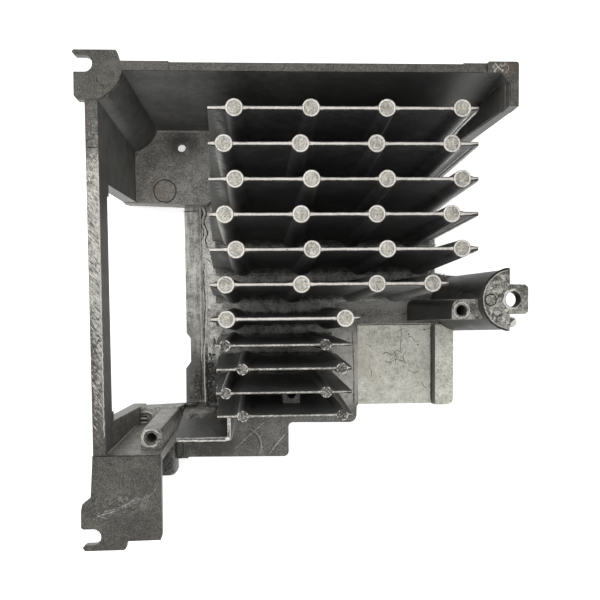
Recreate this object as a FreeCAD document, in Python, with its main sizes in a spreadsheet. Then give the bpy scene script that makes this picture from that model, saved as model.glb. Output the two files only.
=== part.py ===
# Die-cast inverter heat sink, one piece of aluminium.
#
# The frame: +Z points from the flat module side (Z = 0) to the mounting side, where the fin tips, the pin tips
# and the three mounting feet are.  +Y runs up the wall, across the fins; +X runs along the fins, to the right.
# The origin is the middle of the outline on the flat module side.  Millimetres.
import FreeCAD, Part
import os
from FreeCAD import Vector, Rotation, Placement

os.makedirs("parts", exist_ok=True)
doc = FreeCAD.newDocument("heat_sink_casting")

# ----------------------------------------------------------------------------------------------- driving sizes
SIZES = [
    ("overall_z", 78.0, "module side to the plane of the feet"),
    ("rim_z", 77.6, "top of the wall rims between the feet"),
    ("fin_tip_z", 77.4, "fin tips"),
    ("pin_tip_z", 77.9, "tips of the ejector pins, slightly proud of the fins"),
    ("floor_z", 8.0, "floor the fins stand on"),
    ("flange_z", 13.5, "raised flange, upper left, and the lower left shelf"),
    ("strip_z", 6.0, "lower strip along the window"),
    ("thin_z", 3.0, "thin plate, lower right"),
    ("tongue_z", 10.5, "tongue beside the thin plate"),
    ("bar_depth", 11.0, "depth of the side bar beside the window"),
    ("foot_thick", 3.0, "thickness of the mounting feet"),
    ("row_first", 66.5, "Y of the first fin"),
    ("row_pitch", 12.0, "pitch of fins 1 to 6"),
    ("fin_left", -32.65, "left end of the long fins at the tip"),
    ("fin_right", 60.65, "right end of fins 1 to 5 at the tip"),
    ("fin_right_six", 50.15, "right end of fin 6 at the tip"),
    ("fin_right_seven", 19.05, "right end of fin 7 at the tip"),
    ("low_left", -30.9, "left end of fins 8 to 11 at the tip"),
    ("low_right", 16.05, "right end of fins 8 to 11 at the tip"),
    ("end_draft", 0.35, "growth of a fin's right end from tip to floor"),
    ("left_draft", 3.7, "growth of a fin's left end from tip to floor"),
    ("column_plate", 5.3, "thickness of the right foot over its channel"),
    ("fin_tip_half", 0.66, "half thickness of fins 1 to 7 at the tip"),
    ("fin_root_half", 1.45, "half thickness of fins 1 to 7 at the floor"),
    ("low_tip_half", 0.50, "half thickness of fins 8 to 11 at the tip"),
    ("low_root_half", 1.20, "half thickness of fins 8 to 11 at the floor"),
    ("pin_tip_rad", 3.03, "pin radius at the tip"),
    ("pin_root_rad", 4.9, "pin radius at the floor"),
    ("low_pin_tip_rad", 2.0, "small pin radius at the tip"),
    ("low_pin_root_rad", 3.3, "small pin radius at the floor"),
    ("wall_out_x", -73.75, "outer face of the left wall and bar"),
    ("wall_in_x", -69.45, "inner face of the left wall at the rim"),
    ("top_out_y", 81.5, "outer face of the top wall"),
    ("top_in_y", 78.65, "inner face of the top wall at the rim"),
    ("top_root_y", 74.9, "inner face of the top wall at the floor"),
    ("right_out_x", 74.55, "outer face of the right wall stub"),
    ("right_in_x", 71.25, "inner face of the right wall stub at the rim"),
    ("column_x", 72.85, "axis of the right column and its hole"),
    ("column_y", 0.65, "axis of the right column and its hole"),
    ("column_tip_rad", 10.65, "column radius at the foot"),
    ("column_root_rad", 12.5, "column radius at the floor"),
    ("column_cut_x", 71.75, "flat side of the column"),
    ("screw_hole_rad", 2.75, "hole in the right foot"),
    ("slot_half", 2.75, "half width of the foot slots"),
    ("slot_up_x", -73.6, "centre of the upper slot's round end"),
    ("slot_up_y", 80.8, "centre line of the upper slot"),
    ("slot_low_x", -74.3, "centre of the lower slot's round end"),
    ("slot_low_y", -80.25, "centre line of the lower slot"),
    ("driver_rad", 5.4, "screwdriver channels beside the feet"),
    ("tap_rad", 1.65, "tapped holes, core radius"),
    ("tap_mouth_rad", 2.1, "tapped holes, mouth radius"),
    ("flange_hole_rad", 1.75, "through hole in the flange"),
]
sheet = doc.addObject("Spreadsheet::Sheet", "dims")
SIZE = {}
for i, (alias, value, note) in enumerate(SIZES, start=1):
    sheet.set("A%d" % i, note)
    sheet.set("B%d" % i, repr(value))
    sheet.setAlias("B%d" % i, alias)
    SIZE[alias] = value
doc.recompute()


def bind(obj, prop, value):
    """A plain number is set; a string is an expression on the sheet."""
    if isinstance(value, str):
        for alias in sorted(SIZE, key=len, reverse=True):
            value = value.replace("@" + alias, "dims." + alias)
        obj.setExpression(prop, value)
    else:
        setattr(obj, prop, value)


def place(obj, x, y, z, rot=None):
    obj.Placement = Placement(Vector(0, 0, 0), rot or Rotation())
    for axis, value in (("x", x), ("y", y), ("z", z)):
        if isinstance(value, str):
            for alias in sorted(SIZE, key=len, reverse=True):
                value = value.replace("@" + alias, "dims." + alias)
            obj.setExpression("Placement.Base." + axis, value)
        else:
            base = obj.Placement.Base
            setattr(base, axis, value)
            obj.Placement = Placement(base, obj.Placement.Rotation)


def minus(value):
    return "-(%s)" % value if isinstance(value, str) else -value


def block(name, low, high):
    """A drafted block.  low and high are (x0, x1, y0, y1, z): the rectangle at its lower and at its upper level."""
    w = doc.addObject("Part::Wedge", name)
    bind(w, "Xmin", low[0]); bind(w, "Xmax", low[1])
    bind(w, "Zmin", minus(low[3])); bind(w, "Zmax", minus(low[2]))
    bind(w, "Ymin", low[4]); bind(w, "Ymax", high[4])
    bind(w, "X2min", high[0]); bind(w, "X2max", high[1])
    bind(w, "Z2min", minus(high[3])); bind(w, "Z2max", minus(high[2]))
    w.Placement = Placement(Vector(0, 0, 0), Rotation(Vector(1, 0, 0), 90))
    return w


def cone(name, x, y, z0, z1, rad_low, rad_high):
    c = doc.addObject("Part::Cone", name)
    bind(c, "Radius1", rad_low)
    bind(c, "Radius2", rad_high)
    bind(c, "Height", "(%s) - (%s)" % (z1, z0))
    place(c, x, y, z0)
    return c


def rod(name, x, y, z0, z1, rad):
    c = doc.addObject("Part::Cylinder", name)
    bind(c, "Radius", rad)
    bind(c, "Height", "(%s) - (%s)" % (z1, z0))
    place(c, x, y, z0)
    return c


def outline(name, points):
    """A closed sketch.  Each point is (x, y) for a straight edge to it, or (x, y, mx, my) for an arc to it through (mx, my)."""
    s = doc.addObject("Sketcher::SketchObject", name)
    s.Placement = Placement(Vector(0, 0, 0), Rotation())
    edges = []
    n = len(points)
    for i in range(n):
        a = points[i]
        b = points[(i + 1) % n]
        p, q = Vector(a[0], a[1], 0), Vector(b[0], b[1], 0)
        if len(b) == 4:
            arc = Part.Arc(p, Vector(b[2], b[3], 0), q)
            edges.append(arc)
        else:
            edges.append(Part.LineSegment(p, q))
    s.addGeometry(edges, False)
    return s


def rounded(points, radii):
    """Corner points with a radius each, as outline() wants them: the corner becomes an arc between its tangent points."""
    import math
    out = []
    n = len(points)
    for i in range(n):
        p = Vector(points[i][0], points[i][1], 0)
        r = radii[i] if isinstance(radii, (list, tuple)) else radii
        if not r:
            out.append((p.x, p.y))
            continue
        a = Vector(points[i - 1][0], points[i - 1][1], 0)
        b = Vector(points[(i + 1) % n][0], points[(i + 1) % n][1], 0)
        u = (a - p).normalize()
        v = (b - p).normalize()
        half = u.getAngle(v) / 2.0
        d = r / math.tan(half)
        c = p + (u + v).normalize() * (r / math.sin(half))
        m = c + (p - c).normalize() * r
        q0 = p + u * d
        q1 = p + v * d
        out.append((q0.x, q0.y))
        out.append((q1.x, q1.y, m.x, m.y))
    return out


def plate(name, points, z0, z1, taper=0.0):
    """An outline raised from z0 to z1.  A taper, in degrees, makes it narrower upward."""
    s = outline(name + "_outline", points)
    place(s, 0.0, 0.0, z0)
    e = doc.addObject("Part::Extrusion", name)
    e.Base = s
    e.DirMode = "Custom"
    e.Dir = Vector(0, 0, 1)
    e.Solid = True
    bind(e, "LengthFwd", "(%s) - (%s)" % (z1, z0))
    if taper:
        e.TaperAngle = -taper
    return e


add, cut = [], []

# -------------------------------------------------------------------------------------------------- base plate
# Its outline goes round the duct, the cut-out that forms the window, the lower left block and the thin plate.
add.append(plate("base_plate", rounded([
    (-73.75, 81.4), (74.55, 81.4), (74.55, 67.8), (62.5, 58.0), (62.5, 13.6), (71.75, 13.0), (71.75, -11.35),
    (70.55, -11.35), (70.55, -44.8), (27.1, -44.8), (26.9, -52.3), (-3.75, -51.9), (-3.75, -67.2), (-49.0, -66.7),
    (-49.0, -67.3), (-53.9, -67.3), (-53.9, -74.2), (-73.75, -74.2), (-73.75, -45.2), (-71.0, -44.2), (-49.3, -43.4),
    (-49.2, -27.2), (-46.95, -24.2), (-46.95, -13.7), (-48.7, -11.4), (-48.7, 44.7), (-73.75, 45.8)],
    [0, 0, 0, 3, 0, 0, 0, 0, 3.2, 0, 3.2, 2, 2.2, 1, 0, 0, 1.6, 0, 0, 0, 0, 0, 0, 0, 0, 0, 0]),
    "0.0", "@floor_z"))
# The raised flange in the upper left corner and the shelf in the lower left one.
add.append(plate("flange", rounded([(-73.75, 81.4), (-36.5, 81.4), (-36.5, 45.6), (-38.3, 43.8), (-73.75, 44.9)],
                           [0, 0, 0, 0, 0]), "@floor_z - 1.0", "@flange_z"))
add.append(plate("shelf", rounded([(-73.75, -43.4), (-49.4, -42.4), (-49.4, -55.0), (-73.75, -55.0)], 0),
                 "@floor_z - 1.0", "@flange_z"))
# Tongue along the right of the thin plate.
add.append(plate("tongue", rounded([(62.05, -8.6), (70.3, -8.6), (70.3, -44.6), (62.05, -44.6)], [0, 0, 3.0, 0.8]),
                 "0.0", "@tongue_z"))
# A raised seam line beside the low strip.
add.append(block("seam", (-42.2, -40.9, -42.6, 44.3, 5.0), (-41.9, -41.2, -42.4, 44.3, 8.9)))

# ------------------------------------------------------------------------------------------------------- walls
# Top wall: a proud left length, the long middle length and the corner pad.
add.append(block("top_wall_left", (-62.0, -45.4, "@top_root_y", 81.75, 0.0),
                 (-62.0, -45.4, "@top_in_y", 81.75, "@overall_z")))
add.append(block("top_wall", (-73.75, 64.2, "@top_root_y", "@top_out_y", 0.0),
                 (-73.75, 64.2, "@top_in_y", "@top_out_y", "@rim_z")))
add.append(block("top_wall_right", (55.25, 64.2, "@top_root_y", 81.85, 0.0),
                 (55.25, 64.2, "@top_in_y", 81.85, "@rim_z")))
add.append(block("top_wall_corner", (63.9, 73.2, "@top_root_y", "@top_out_y", 0.0),
                 (63.9, 73.2, 78.35, "@top_out_y", 71.0)))
add.append(plate("corner_pad", rounded([(63.8, 82.35), (74.55, 82.35), (74.55, 67.2), (71.25, 67.2), (71.25, 75.2),
                                        (69.6, 76.9), (68.5, 78.6), (63.8, 78.6)],
                                       [0.3, 0.9, 0, 0, 1.2, 1.0, 0.6, 0]), "70.0", "@overall_z"))
add.append(plate("corner_fill", [(66.8, 80.0), (66.8, 79.0), (68.5, 78.4), (71.3, 75.7), (73.0, 75.7), (73.0, 80.0)],
                 "0.0", "@overall_z - 1.0", 0.8))
add.append(block("right_wall", ("@right_in_x - 1.9", "@right_out_x", 69.7, "@top_out_y", 0.0),
                 ("@right_in_x", "@right_out_x", 67.2, "@top_out_y", "@overall_z - 1.0")))
add.append(block("right_ledge", ("@right_in_x - 2.5", "@right_in_x + 1.0", 69.9, 76.0, 0.0),
                 ("@right_in_x - 0.5", "@right_in_x + 1.0", 67.6, 76.0, "@overall_z - 3.5")))
# Left wall: full depth at both ends, a bar between them, so the window is open under the bar.
add.append(block("left_wall_up", ("@wall_out_x", "@wall_in_x + 1.35", 45.7, "@top_out_y", 0.0),
                 ("@wall_out_x", "@wall_in_x", 42.4, "@top_out_y", "@rim_z")))
add.append(block("left_wall_low", ("@wall_out_x", "@wall_in_x + 1.35", -56.0, -43.3, 0.0),
                 ("@wall_out_x", "@wall_in_x", -56.0, -41.3, "@rim_z")))
add.append(block("bar", ("@wall_out_x", "@wall_in_x + 0.2", -50.0, 50.0, "@rim_z - @bar_depth"),
                 ("@wall_out_x", "@wall_in_x", -50.0, 50.0, "@rim_z")))
# Small inner fillets where the bar meets the full-depth ends.
for tag, y0, y1, y2 in (("up", 44.6, 39.0, 42.6), ("low", -43.4, -38.4, -42.0)):
    add.append(plate("bar_root_" + tag, [(-73.75, y0), (-69.4, y0), (-69.3, y1), (-69.9, y1 + (0.2 if y1 < 0 else -0.2)),
                                         (-73.75, y1)], "@rim_z - @bar_depth - 3.0", "@rim_z - @bar_depth + 1.0"))

# ------------------------------------------------------------------------------------- upper left corner pillar
pillar = cone("corner_cone", -71.2, 79.1, "0.0", "@overall_z", 13.45, 10.2)
clip = doc.addObject("Part::Box", "corner_clip")
clip.Length, clip.Width, clip.Height = 20.0, 20.0, 90.0
place(clip, "@wall_out_x", "@top_out_y - 20", 0.0)
corner = doc.addObject("Part::Common", "corner_pillar")
corner.Base, corner.Tool = pillar, clip
add.append(corner)

# --------------------------------------------------------------------------------------------- mounting feet
up_foot = rounded([
    (-76.9, 85.35), (-62.75, 85.35), (-61.6, 81.6), (-61.6, 78.6), (-66.0, 70.0), (-73.0, 68.7), (-76.0, 68.75),
    (-77.2, 70.1), (-77.15, 78.05), (-73.6, 78.05), (-73.6, 83.55), (-76.5, 83.55), (-77.6, 84.6)],
    [0.7, 0.5, 0.4, 0, 0, 0, 0.4, 0.4, 0.3, 0, 0, 0.3, 0.3])
add.append(plate("upper_foot", up_foot, "@overall_z - @foot_thick", "@overall_z"))
low_foot = rounded([
    (-73.95, -51.95), (-74.0, -53.5), (-74.85, -66.4), (-77.8, -68.7), (-78.3, -71.2), (-78.35, -77.5),
    (-74.3, -77.5), (-74.3, -83.0), (-76.9, -83.0), (-78.0, -83.7), (-77.3, -85.1), (-63.2, -85.05),
    (-62.6, -81.95), (-51.1, -81.8), (-50.6, -80.3), (-50.45, -53.6), (-51.9, -51.95)],
    [0, 0, 0.8, 0.8, 1.0, 1.0, 0, 0, 0.3, 0.5, 0.8, 1.2, 0.5, 0.5, 0.4, 0.6, 0.4])
add.append(plate("lower_foot", low_foot, "@overall_z - @foot_thick", "@overall_z"))
# The slots' round ends.
cut.append(rod("slot_up_end", "@slot_up_x", "@slot_up_y", "@overall_z - @foot_thick - 1", "@overall_z + 1", "@slot_half"))
cut.append(rod("slot_low_end", "@slot_low_x", "@slot_low_y", "@overall_z - @foot_thick - 1", "@overall_z + 1", "@slot_half"))
# A screwdriver channel behind the upper slot, open to the corner.
channel = rod("driver_channel", "@slot_up_x", "@slot_up_y", "-1.0", "@overall_z - @foot_thick", "@driver_rad")
cut.append(channel)
side = doc.addObject("Part::Box", "driver_channel_side")
side.Length, side.Width = 9.0, 10.8
bind(side, "Height", "@overall_z - @foot_thick + 1.0")
place(side, "@slot_up_x - 9.0", "@slot_up_y - @driver_rad", -1.0)
cut.append(side)

# Block behind the lower foot, hollow from the module side, and the wall that ties it to the pocket.
add.append(block("low_block", ("@wall_out_x", -62.0, -74.9, -50.1, 0.0),
                 ("@wall_out_x", -62.6, -73.2, -51.95, "@overall_z - 2.0")))
add.append(block("low_tie", (-63.0, -51.4, -56.0, -50.1, 0.0), (-63.0, -50.8, -54.8, -51.95, "@overall_z - 2.0")))
cut.append(block("low_block_hollow", (-70.9, -64.8, -72.0, -53.6, -1.0), (-70.5, -65.4, -71.0, -55.0, 66.0)))
# A rounded rib on the base runs on below the block.
rib = block("low_rib", (-63.0, -53.8, -74.3, -53.0, 4.0), (-63.0, -54.1, -74.0, -53.0, 13.0))
doc.recompute()
edges = [k for k, e in enumerate(rib.Shape.Edges, start=1)
         if e.BoundBox.ZMin > 12.9 and (e.BoundBox.XMin > -54.2 or e.BoundBox.YMax < -73.9)]
upright = [k for k, e in enumerate(rib.Shape.Edges, start=1)
           if e.BoundBox.XMin > -54.2 and e.BoundBox.YMax < -73.9 and e.BoundBox.ZLength > 5]
soft = doc.addObject("Part::Fillet", "low_rib_soft")
soft.Base = rib
soft.Edges = [(k, 3.2 if rib.Shape.Edges[k - 1].BoundBox.YLength > 5 else 1.2,
               3.2 if rib.Shape.Edges[k - 1].BoundBox.YLength > 5 else 1.2) for k in edges] + [(k, 1.5, 1.5) for k in upright]
add.append(soft)
add.append(block("low_step_one", (-53.3, -50.9, -67.2, -58.0, 7.0), (-53.1, -51.0, -66.9, -58.0, 10.2)))
add.append(block("low_step_two", (-50.9, -49.1, -66.7, -58.0, 7.0), (-50.8, -49.3, -66.4, -58.0, 9.0)))
# The slab that closes the block toward the pocket; its end carries the screw hole.
slab = block("screw_slab", (-59.6, -51.0, -54.0, -43.5, 0.0), (-59.3, -51.7, -54.0, -45.1, 66.5))
doc.recompute()
edge = [k for k, e in enumerate(slab.Shape.Edges, start=1) if e.BoundBox.YMin > -46.0 and e.BoundBox.ZLength > 20]
slab_soft = doc.addObject("Part::Fillet", "screw_slab_soft")
slab_soft.Base = slab
slab_soft.Edges = [(k, 1.2, 1.2) for k in edge]
add.append(slab_soft)
cut.append(rod("tap_low", -55.5, -48.0, "50.5", "71.0", "@tap_rad"))
cut.append(cone("tap_low_mouth", -55.5, -48.0, "65.5", "66.7", "@tap_rad", "@tap_mouth_rad + 0.2"))

# Oblong recess in the shelf, with a low bar across it.
cut.append(plate("shelf_recess", [(-68.6, -45.7), (-65.85, -45.7), (-65.85, -50.4, -63.5, -48.05), (-68.6, -50.4)],
                 "@flange_z - 2.6", "@flange_z + 1.0"))
add_late = [block("recess_bar_one", (-68.7, -65.6, -48.9, -47.9, 9.0), (-68.7, -65.8, -48.7, -48.1, 12.9)),
            block("recess_bar_two", (-68.7, -65.9, -50.5, -49.5, 9.0), (-68.7, -66.1, -50.5, -49.7, 12.9))]

# ---------------------------------------------------------------------------------------------- right column
col = cone("column_cone", "@column_x", "@column_y", "0.0", "@overall_z", "@column_root_rad", "@column_tip_rad")
col_clip = doc.addObject("Part::Box", "column_clip")
col_clip.Length, col_clip.Width, col_clip.Height = 30.0, 40.0, 90.0
place(col_clip, "@column_cut_x - 30", -20.0, 0.0)
col_half = doc.addObject("Part::Common", "column")
col_half.Base, col_half.Tool = col, col_clip
add.append(col_half)
add.append(plate("right_tab", rounded([(70.0, 6.0), (77.2, 5.85), (78.3, 4.9), (78.3, -3.8), (77.2, -4.5), (70.0, -4.5)],
                                      [0, 0.6, 0.8, 0.8, 0.6, 0]), "@overall_z - @column_plate", "@overall_z"))
add.append(cone("column_lug", 73.2, -7.3, "40.0", "@overall_z - 2.5", 2.3, 1.9))
cut.append(rod("column_channel", "@column_x", "@column_y", "-1.0", "@overall_z - @column_plate", "@driver_rad + 0.8"))
col_side = doc.addObject("Part::Box", "column_channel_side")
col_side.Length, col_side.Width = 10.0, 12.4
bind(col_side, "Height", "@overall_z - @column_plate + 1.0")
place(col_side, "@column_x", "@column_y - @driver_rad - 0.8", -1.0)
cut.append(col_side)
cut.append(rod("foot_hole", "@column_x + 0.1", "@column_y", "@overall_z - @column_plate - 1", "@overall_z + 1", "@screw_hole_rad"))
# Screw boss against the column.
boss = block("side_boss", (49.65, 66.0, -7.0, 2.75, 0.0), (52.85, 64.0, -6.15, 1.0, 72.0))
doc.recompute()
edge = [k for k, e in enumerate(boss.Shape.Edges, start=1)
        if e.BoundBox.XMax < 53 and e.BoundBox.YMin > 0.5 and e.BoundBox.ZLength > 20]
boss_soft = doc.addObject("Part::Fillet", "side_boss_soft")
boss_soft.Base = boss
boss_soft.Edges = [(edge[0], 3.2, 3.2)]
add.append(boss_soft)
cut.append(rod("tap_side", 56.4, -3.0, "56.0", "73.0", "@tap_rad"))
cut.append(cone("tap_side_mouth", 56.4, -3.0, "71.2", "72.2", "@tap_rad", "@tap_mouth_rad"))

# --------------------------------------------------------------------------------------- thin angled pocket wall
add.append(block("pocket_wall", (-49.6, -25.6, -48.7, -43.7, 4.0), (-45.3, -26.25, -47.6, -46.1, "@fin_tip_z")))
add.append(block("pocket_side", (-28.3, -25.5, -49.0, -39.0, 4.0), (-27.45, -26.25, -47.6, -39.0, "@fin_tip_z")))

# --------------------------------------------------------------------------------------------------------- fins
ROWS = [  # y, left, right, half thickness at the tip and the root
    ("@row_first", "@fin_left", "@fin_right", "fin"),
    ("@row_first - @row_pitch", "@fin_left", "@fin_right", "fin"),
    ("@row_first - 2 * @row_pitch", "@fin_left", "@fin_right", "fin"),
    ("@row_first - 3 * @row_pitch", "@fin_left", "@fin_right", "fin"),
    ("@row_first - 4 * @row_pitch", "@fin_left", "@fin_right", "fin"),
    ("@row_first - 5 * @row_pitch", "@fin_left", "@fin_right_six", "fin"),
    (-5.4, "@fin_left", "@fin_right_seven", "fin"),
    (-14.5, "@low_left", "@low_right", "low"),
    (-22.75, "@low_left", "@low_right", "low"),
    (-31.0, "@low_left", "@low_right", "low"),
    (-39.1, "@low_left", "@low_right", "low"),
]
PINS = {
    1: (-23.6, 2.6, 28.75, 54.9), 2: (-27.3, -1.1, 25.1, 51.25), 3: (-23.6, 2.6, 28.75, 54.9),
    4: (-27.3, -1.1, 25.1, 51.25), 5: (-23.6, 2.6, 28.75, 54.9), 6: (-27.3, -1.15, 25.1, 44.55),
    7: (-27.2, 13.95), 8: (-27.85, 7.05), 9: (-21.95, 12.7), 10: (-27.75, 7.15), 11: (-22.05, 12.7),
}
# A fin swells into each of its pins: a four-sided shape with points along the fin, lofted from the floor to the tip.
def flare(name, x, y, z0, z1, low, high):
    ends = []
    for tag, z, (reach, half, thin) in (("low", z0, low), ("high", z1, high)):
        o = outline(name + "_" + tag, [(-reach, -thin), (0.0, -half), (reach, -thin), (reach, thin), (0.0, half),
                                       (-reach, thin)])
        place(o, x, y, z)
        ends.append(o)
    f = doc.addObject("Part::Loft", name)
    f.Sections = ends
    f.Solid = True
    f.Ruled = True
    return f


for n, (y, left, right, kind) in enumerate(ROWS, start=1):
    tip, root = "@%s_tip_half" % kind, "@%s_root_half" % kind
    big = n <= 7
    members = [block("fin_%02d_blade" % n,
                     ("(%s) - @left_draft" % left, "(%s) + @end_draft" % right,
                      "(%s) - %s" % (y, root), "(%s) + %s" % (y, root), "@floor_z - 1"),
                     (left, right, "(%s) - %s" % (y, tip), "(%s) + %s" % (y, tip), "@fin_tip_z"))]
    for k, x in enumerate(PINS[n], start=1):
        members.append(cone("pin_%02d_%d" % (n, k), x, y, "@floor_z - 1", "@pin_tip_z",
                            "@pin_root_rad" if big else "@low_pin_root_rad", "@pin_tip_rad" if big else "@low_pin_tip_rad"))
        members.append(flare("flare_%02d_%d" % (n, k), x, y, "@floor_z - 1", "@fin_tip_z - 0.05",
                             (7.6, 3.6, 1.40) if big else (5.6, 2.7, 1.15), (4.9, 1.62, 0.60) if big else (3.5, 1.15, 0.45)))
    fin = doc.addObject("Part::MultiFuse", "fin_%02d" % n)
    fin.Shapes = members
    add.append(fin)

# Round screw boss low between the last two fins.
add.append(plate("fin_boss", rounded([(-7.7, -31.0), (-7.7, -39.0), (-0.1, -39.0), (-0.1, -31.0)], 1.2), "@floor_z - 1", "48.0", 0.6))
cut.append(rod("tap_fin", -3.9, -34.9, "34.0", "49.0", "@tap_rad"))

# ---------------------------------------------------------------------------------------------------- cuts
cut.append(plate("thin_plate_recess", rounded([(27.6, -8.2), (62.05, -8.2), (62.05, -46.0), (27.6, -46.0)],
                                              [1.0, 1.0, 0, 0]), "@thin_z", "@floor_z + 0.01"))
cut.append(plate("strip_recess", rounded([(-52.0, 44.2), (-41.75, 44.2), (-41.75, -42.4), (-52.0, -42.4)], 0),
                 "@strip_z", "@floor_z + 0.01"))
cut.append(rod("flange_hole", -48.66, 68.3, "-1.0", "@flange_z + 1", "@flange_hole_rad"))
cut.append(rod("flange_hole_relief", -48.66, 68.3, "-1.0", "@flange_z - 2.6", "@flange_hole_rad + 3.2"))
# Round marks left by the ejectors: a shallow ring groove each.
for tag, x, y, z, rad in (("flange", -56.05, 49.9, "@flange_z", 4.85), ("corner", -66.7, 76.2, "@overall_z", 3.1),
                          ("column", 64.95, 0.5, "@overall_z", 2.05)):
    outer = rod("mark_%s_outer" % tag, x, y, "(%s) - 0.35" % z, "(%s) + 1" % z, rad)
    inner = rod("mark_%s_inner" % tag, x, y, "(%s) - 1" % z, "(%s) + 2" % z, rad - 0.35)
    ring = doc.addObject("Part::Cut", "mark_" + tag)
    ring.Base, ring.Tool = outer, inner
    cut.append(ring)

# -------------------------------------------------------------------------------------------------- one casting
solid = doc.addObject("Part::MultiFuse", "all_material")
solid.Shapes = add
tools = doc.addObject("Part::MultiFuse", "all_cuts")
tools.Shapes = cut
bare = doc.addObject("Part::Cut", "casting_cut")
bare.Base, bare.Tool = solid, tools
final = doc.addObject("Part::MultiFuse", "casting")
final.Shapes = [bare] + add_late
final.Label = "heat_sink"
final.Placement = Placement(Vector(0, 0, 0), Rotation())
doc.recompute()

bad = [o.Name for o in doc.Objects if "Invalid" in o.State or "Error" in o.State]
if bad:
    raise RuntimeError("objects that failed to compute: %s" % bad)
for o in (final,):
    if o.Shape.isNull() or not o.Shape.isValid():
        raise RuntimeError("%s has no valid shape" % o.Label)
    if len(o.Shape.Solids) != 1:
        raise RuntimeError("%s is %d solids" % (o.Label, len(o.Shape.Solids)))
    o.Shape.exportStep("parts/%s.step" % o.Label)
    bb = o.Shape.BoundBox
    print("%s  volume %.1f cm3  box X %.2f..%.2f  Y %.2f..%.2f  Z %.2f..%.2f  faces %d"
          % (o.Label, o.Shape.Volume / 1000.0, bb.XMin, bb.XMax, bb.YMin, bb.YMax, bb.ZMin, bb.ZMax, len(o.Shape.Faces)))
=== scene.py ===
import bpy, bmesh, math, random
import numpy as np
from mathutils import Matrix, Vector, noise
from mathutils.bvhtree import BVHTree


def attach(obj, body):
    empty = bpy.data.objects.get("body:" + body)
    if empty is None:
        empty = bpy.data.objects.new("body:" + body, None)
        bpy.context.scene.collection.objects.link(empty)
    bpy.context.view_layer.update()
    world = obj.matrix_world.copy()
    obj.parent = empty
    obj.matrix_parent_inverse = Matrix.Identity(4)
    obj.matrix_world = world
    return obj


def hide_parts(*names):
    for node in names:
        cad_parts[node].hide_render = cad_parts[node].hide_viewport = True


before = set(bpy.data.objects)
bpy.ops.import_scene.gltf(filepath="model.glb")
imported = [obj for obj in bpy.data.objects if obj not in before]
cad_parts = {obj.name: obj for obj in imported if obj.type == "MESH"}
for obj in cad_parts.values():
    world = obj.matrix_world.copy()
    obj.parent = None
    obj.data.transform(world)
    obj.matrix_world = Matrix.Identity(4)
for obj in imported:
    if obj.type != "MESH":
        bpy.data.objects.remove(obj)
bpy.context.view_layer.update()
MM = 0.001
scene = bpy.context.scene

# ------------------------------------------------------------------------------------------------------ camera
cam_data = bpy.data.cameras.new("camera")
cam = bpy.data.objects.new("camera", cam_data)
scene.collection.objects.link(cam)
right = Vector((0.99885976, -0.00982138, 0.04671959))
down = Vector((-0.01211911, -0.99871763, 0.04915508))
ahead = Vector((0.04617691, -0.04966524, -0.99769788))
cam_data.lens = 42.0
cam_data.sensor_width = 36.0
cam_data.shift_x = 0.0079
cam_data.shift_y = 0.0866
cam_data.clip_start, cam_data.clip_end = 0.02, 20.0
turn = Matrix((right, -down, -ahead)).transposed().to_4x4()
cam.matrix_world = Matrix.Translation(Vector((-0.0148187, -0.0048249, 0.3198309))) @ turn
scene.camera = cam

# ---------------------------------------------------------------------------------------------- floor and light
def link(obj):
    scene.collection.objects.link(obj)
    return obj


floor_mesh = bpy.data.meshes.new("floor")
# a round floor; a low rim far away keeps the horizon as pale as the floor when the part is seen from the side
R, RIM, N = 6.0, 0.85, 64
RING = [(R * math.cos(2 * math.pi * k / N), R * math.sin(2 * math.pi * k / N)) for k in range(N)]
floor_mesh.from_pydata([(x, y, -0.0002) for x, y in RING] + [(x, y, RIM) for x, y in RING], [],
                       [tuple(range(N))] + [((k + 1) % N, k, k + N, (k + 1) % N + N) for k in range(N)])
floor = link(bpy.data.objects.new("floor", floor_mesh))
fm = bpy.data.materials.new("floor_white")
fm.use_nodes = True
fb = fm.node_tree.nodes["Principled BSDF"]
fb.inputs["Base Color"].default_value = (0.93, 0.93, 0.93, 1)
fb.inputs["Roughness"].default_value = 0.9
fb.inputs["Emission Color"].default_value = (1, 1, 1, 1)
fb.inputs["Emission Strength"].default_value = 0.62
floor_mesh.materials.append(fm)

world = bpy.data.worlds.new("studio")
world.use_nodes = True
world.node_tree.nodes["Background"].inputs[0].default_value = (1.0, 1.0, 1.0, 1)
world.node_tree.nodes["Background"].inputs[1].default_value = 0.26
scene.world = world


def area(name, loc, target, size, power, tint=(1, 1, 1)):
    d = bpy.data.lights.new(name, "AREA")
    d.shape = "DISK"
    d.size = size
    d.energy = power
    d.color = tint
    o = link(bpy.data.objects.new(name, d))
    o.location = loc
    o.rotation_mode = "QUATERNION"
    o.rotation_quaternion = (Vector(target) - Vector(loc)).to_track_quat("-Z", "Y")
    return o


area("overhead", (-0.25, 0.25, 2.0), (0, 0, 0.04), 2.4, 27.0)
area("left", (-1.3, 0.5, 0.9), (0, 0, 0.05), 0.8, 5.0)
area("right", (1.3, -0.6, 0.9), (0, 0, 0.05), 0.8, 1.5)

scene.view_settings.view_transform = "Standard"
scene.view_settings.look = "None"
scene.view_settings.exposure = 0.0
scene.view_settings.gamma = 1.0


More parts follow.
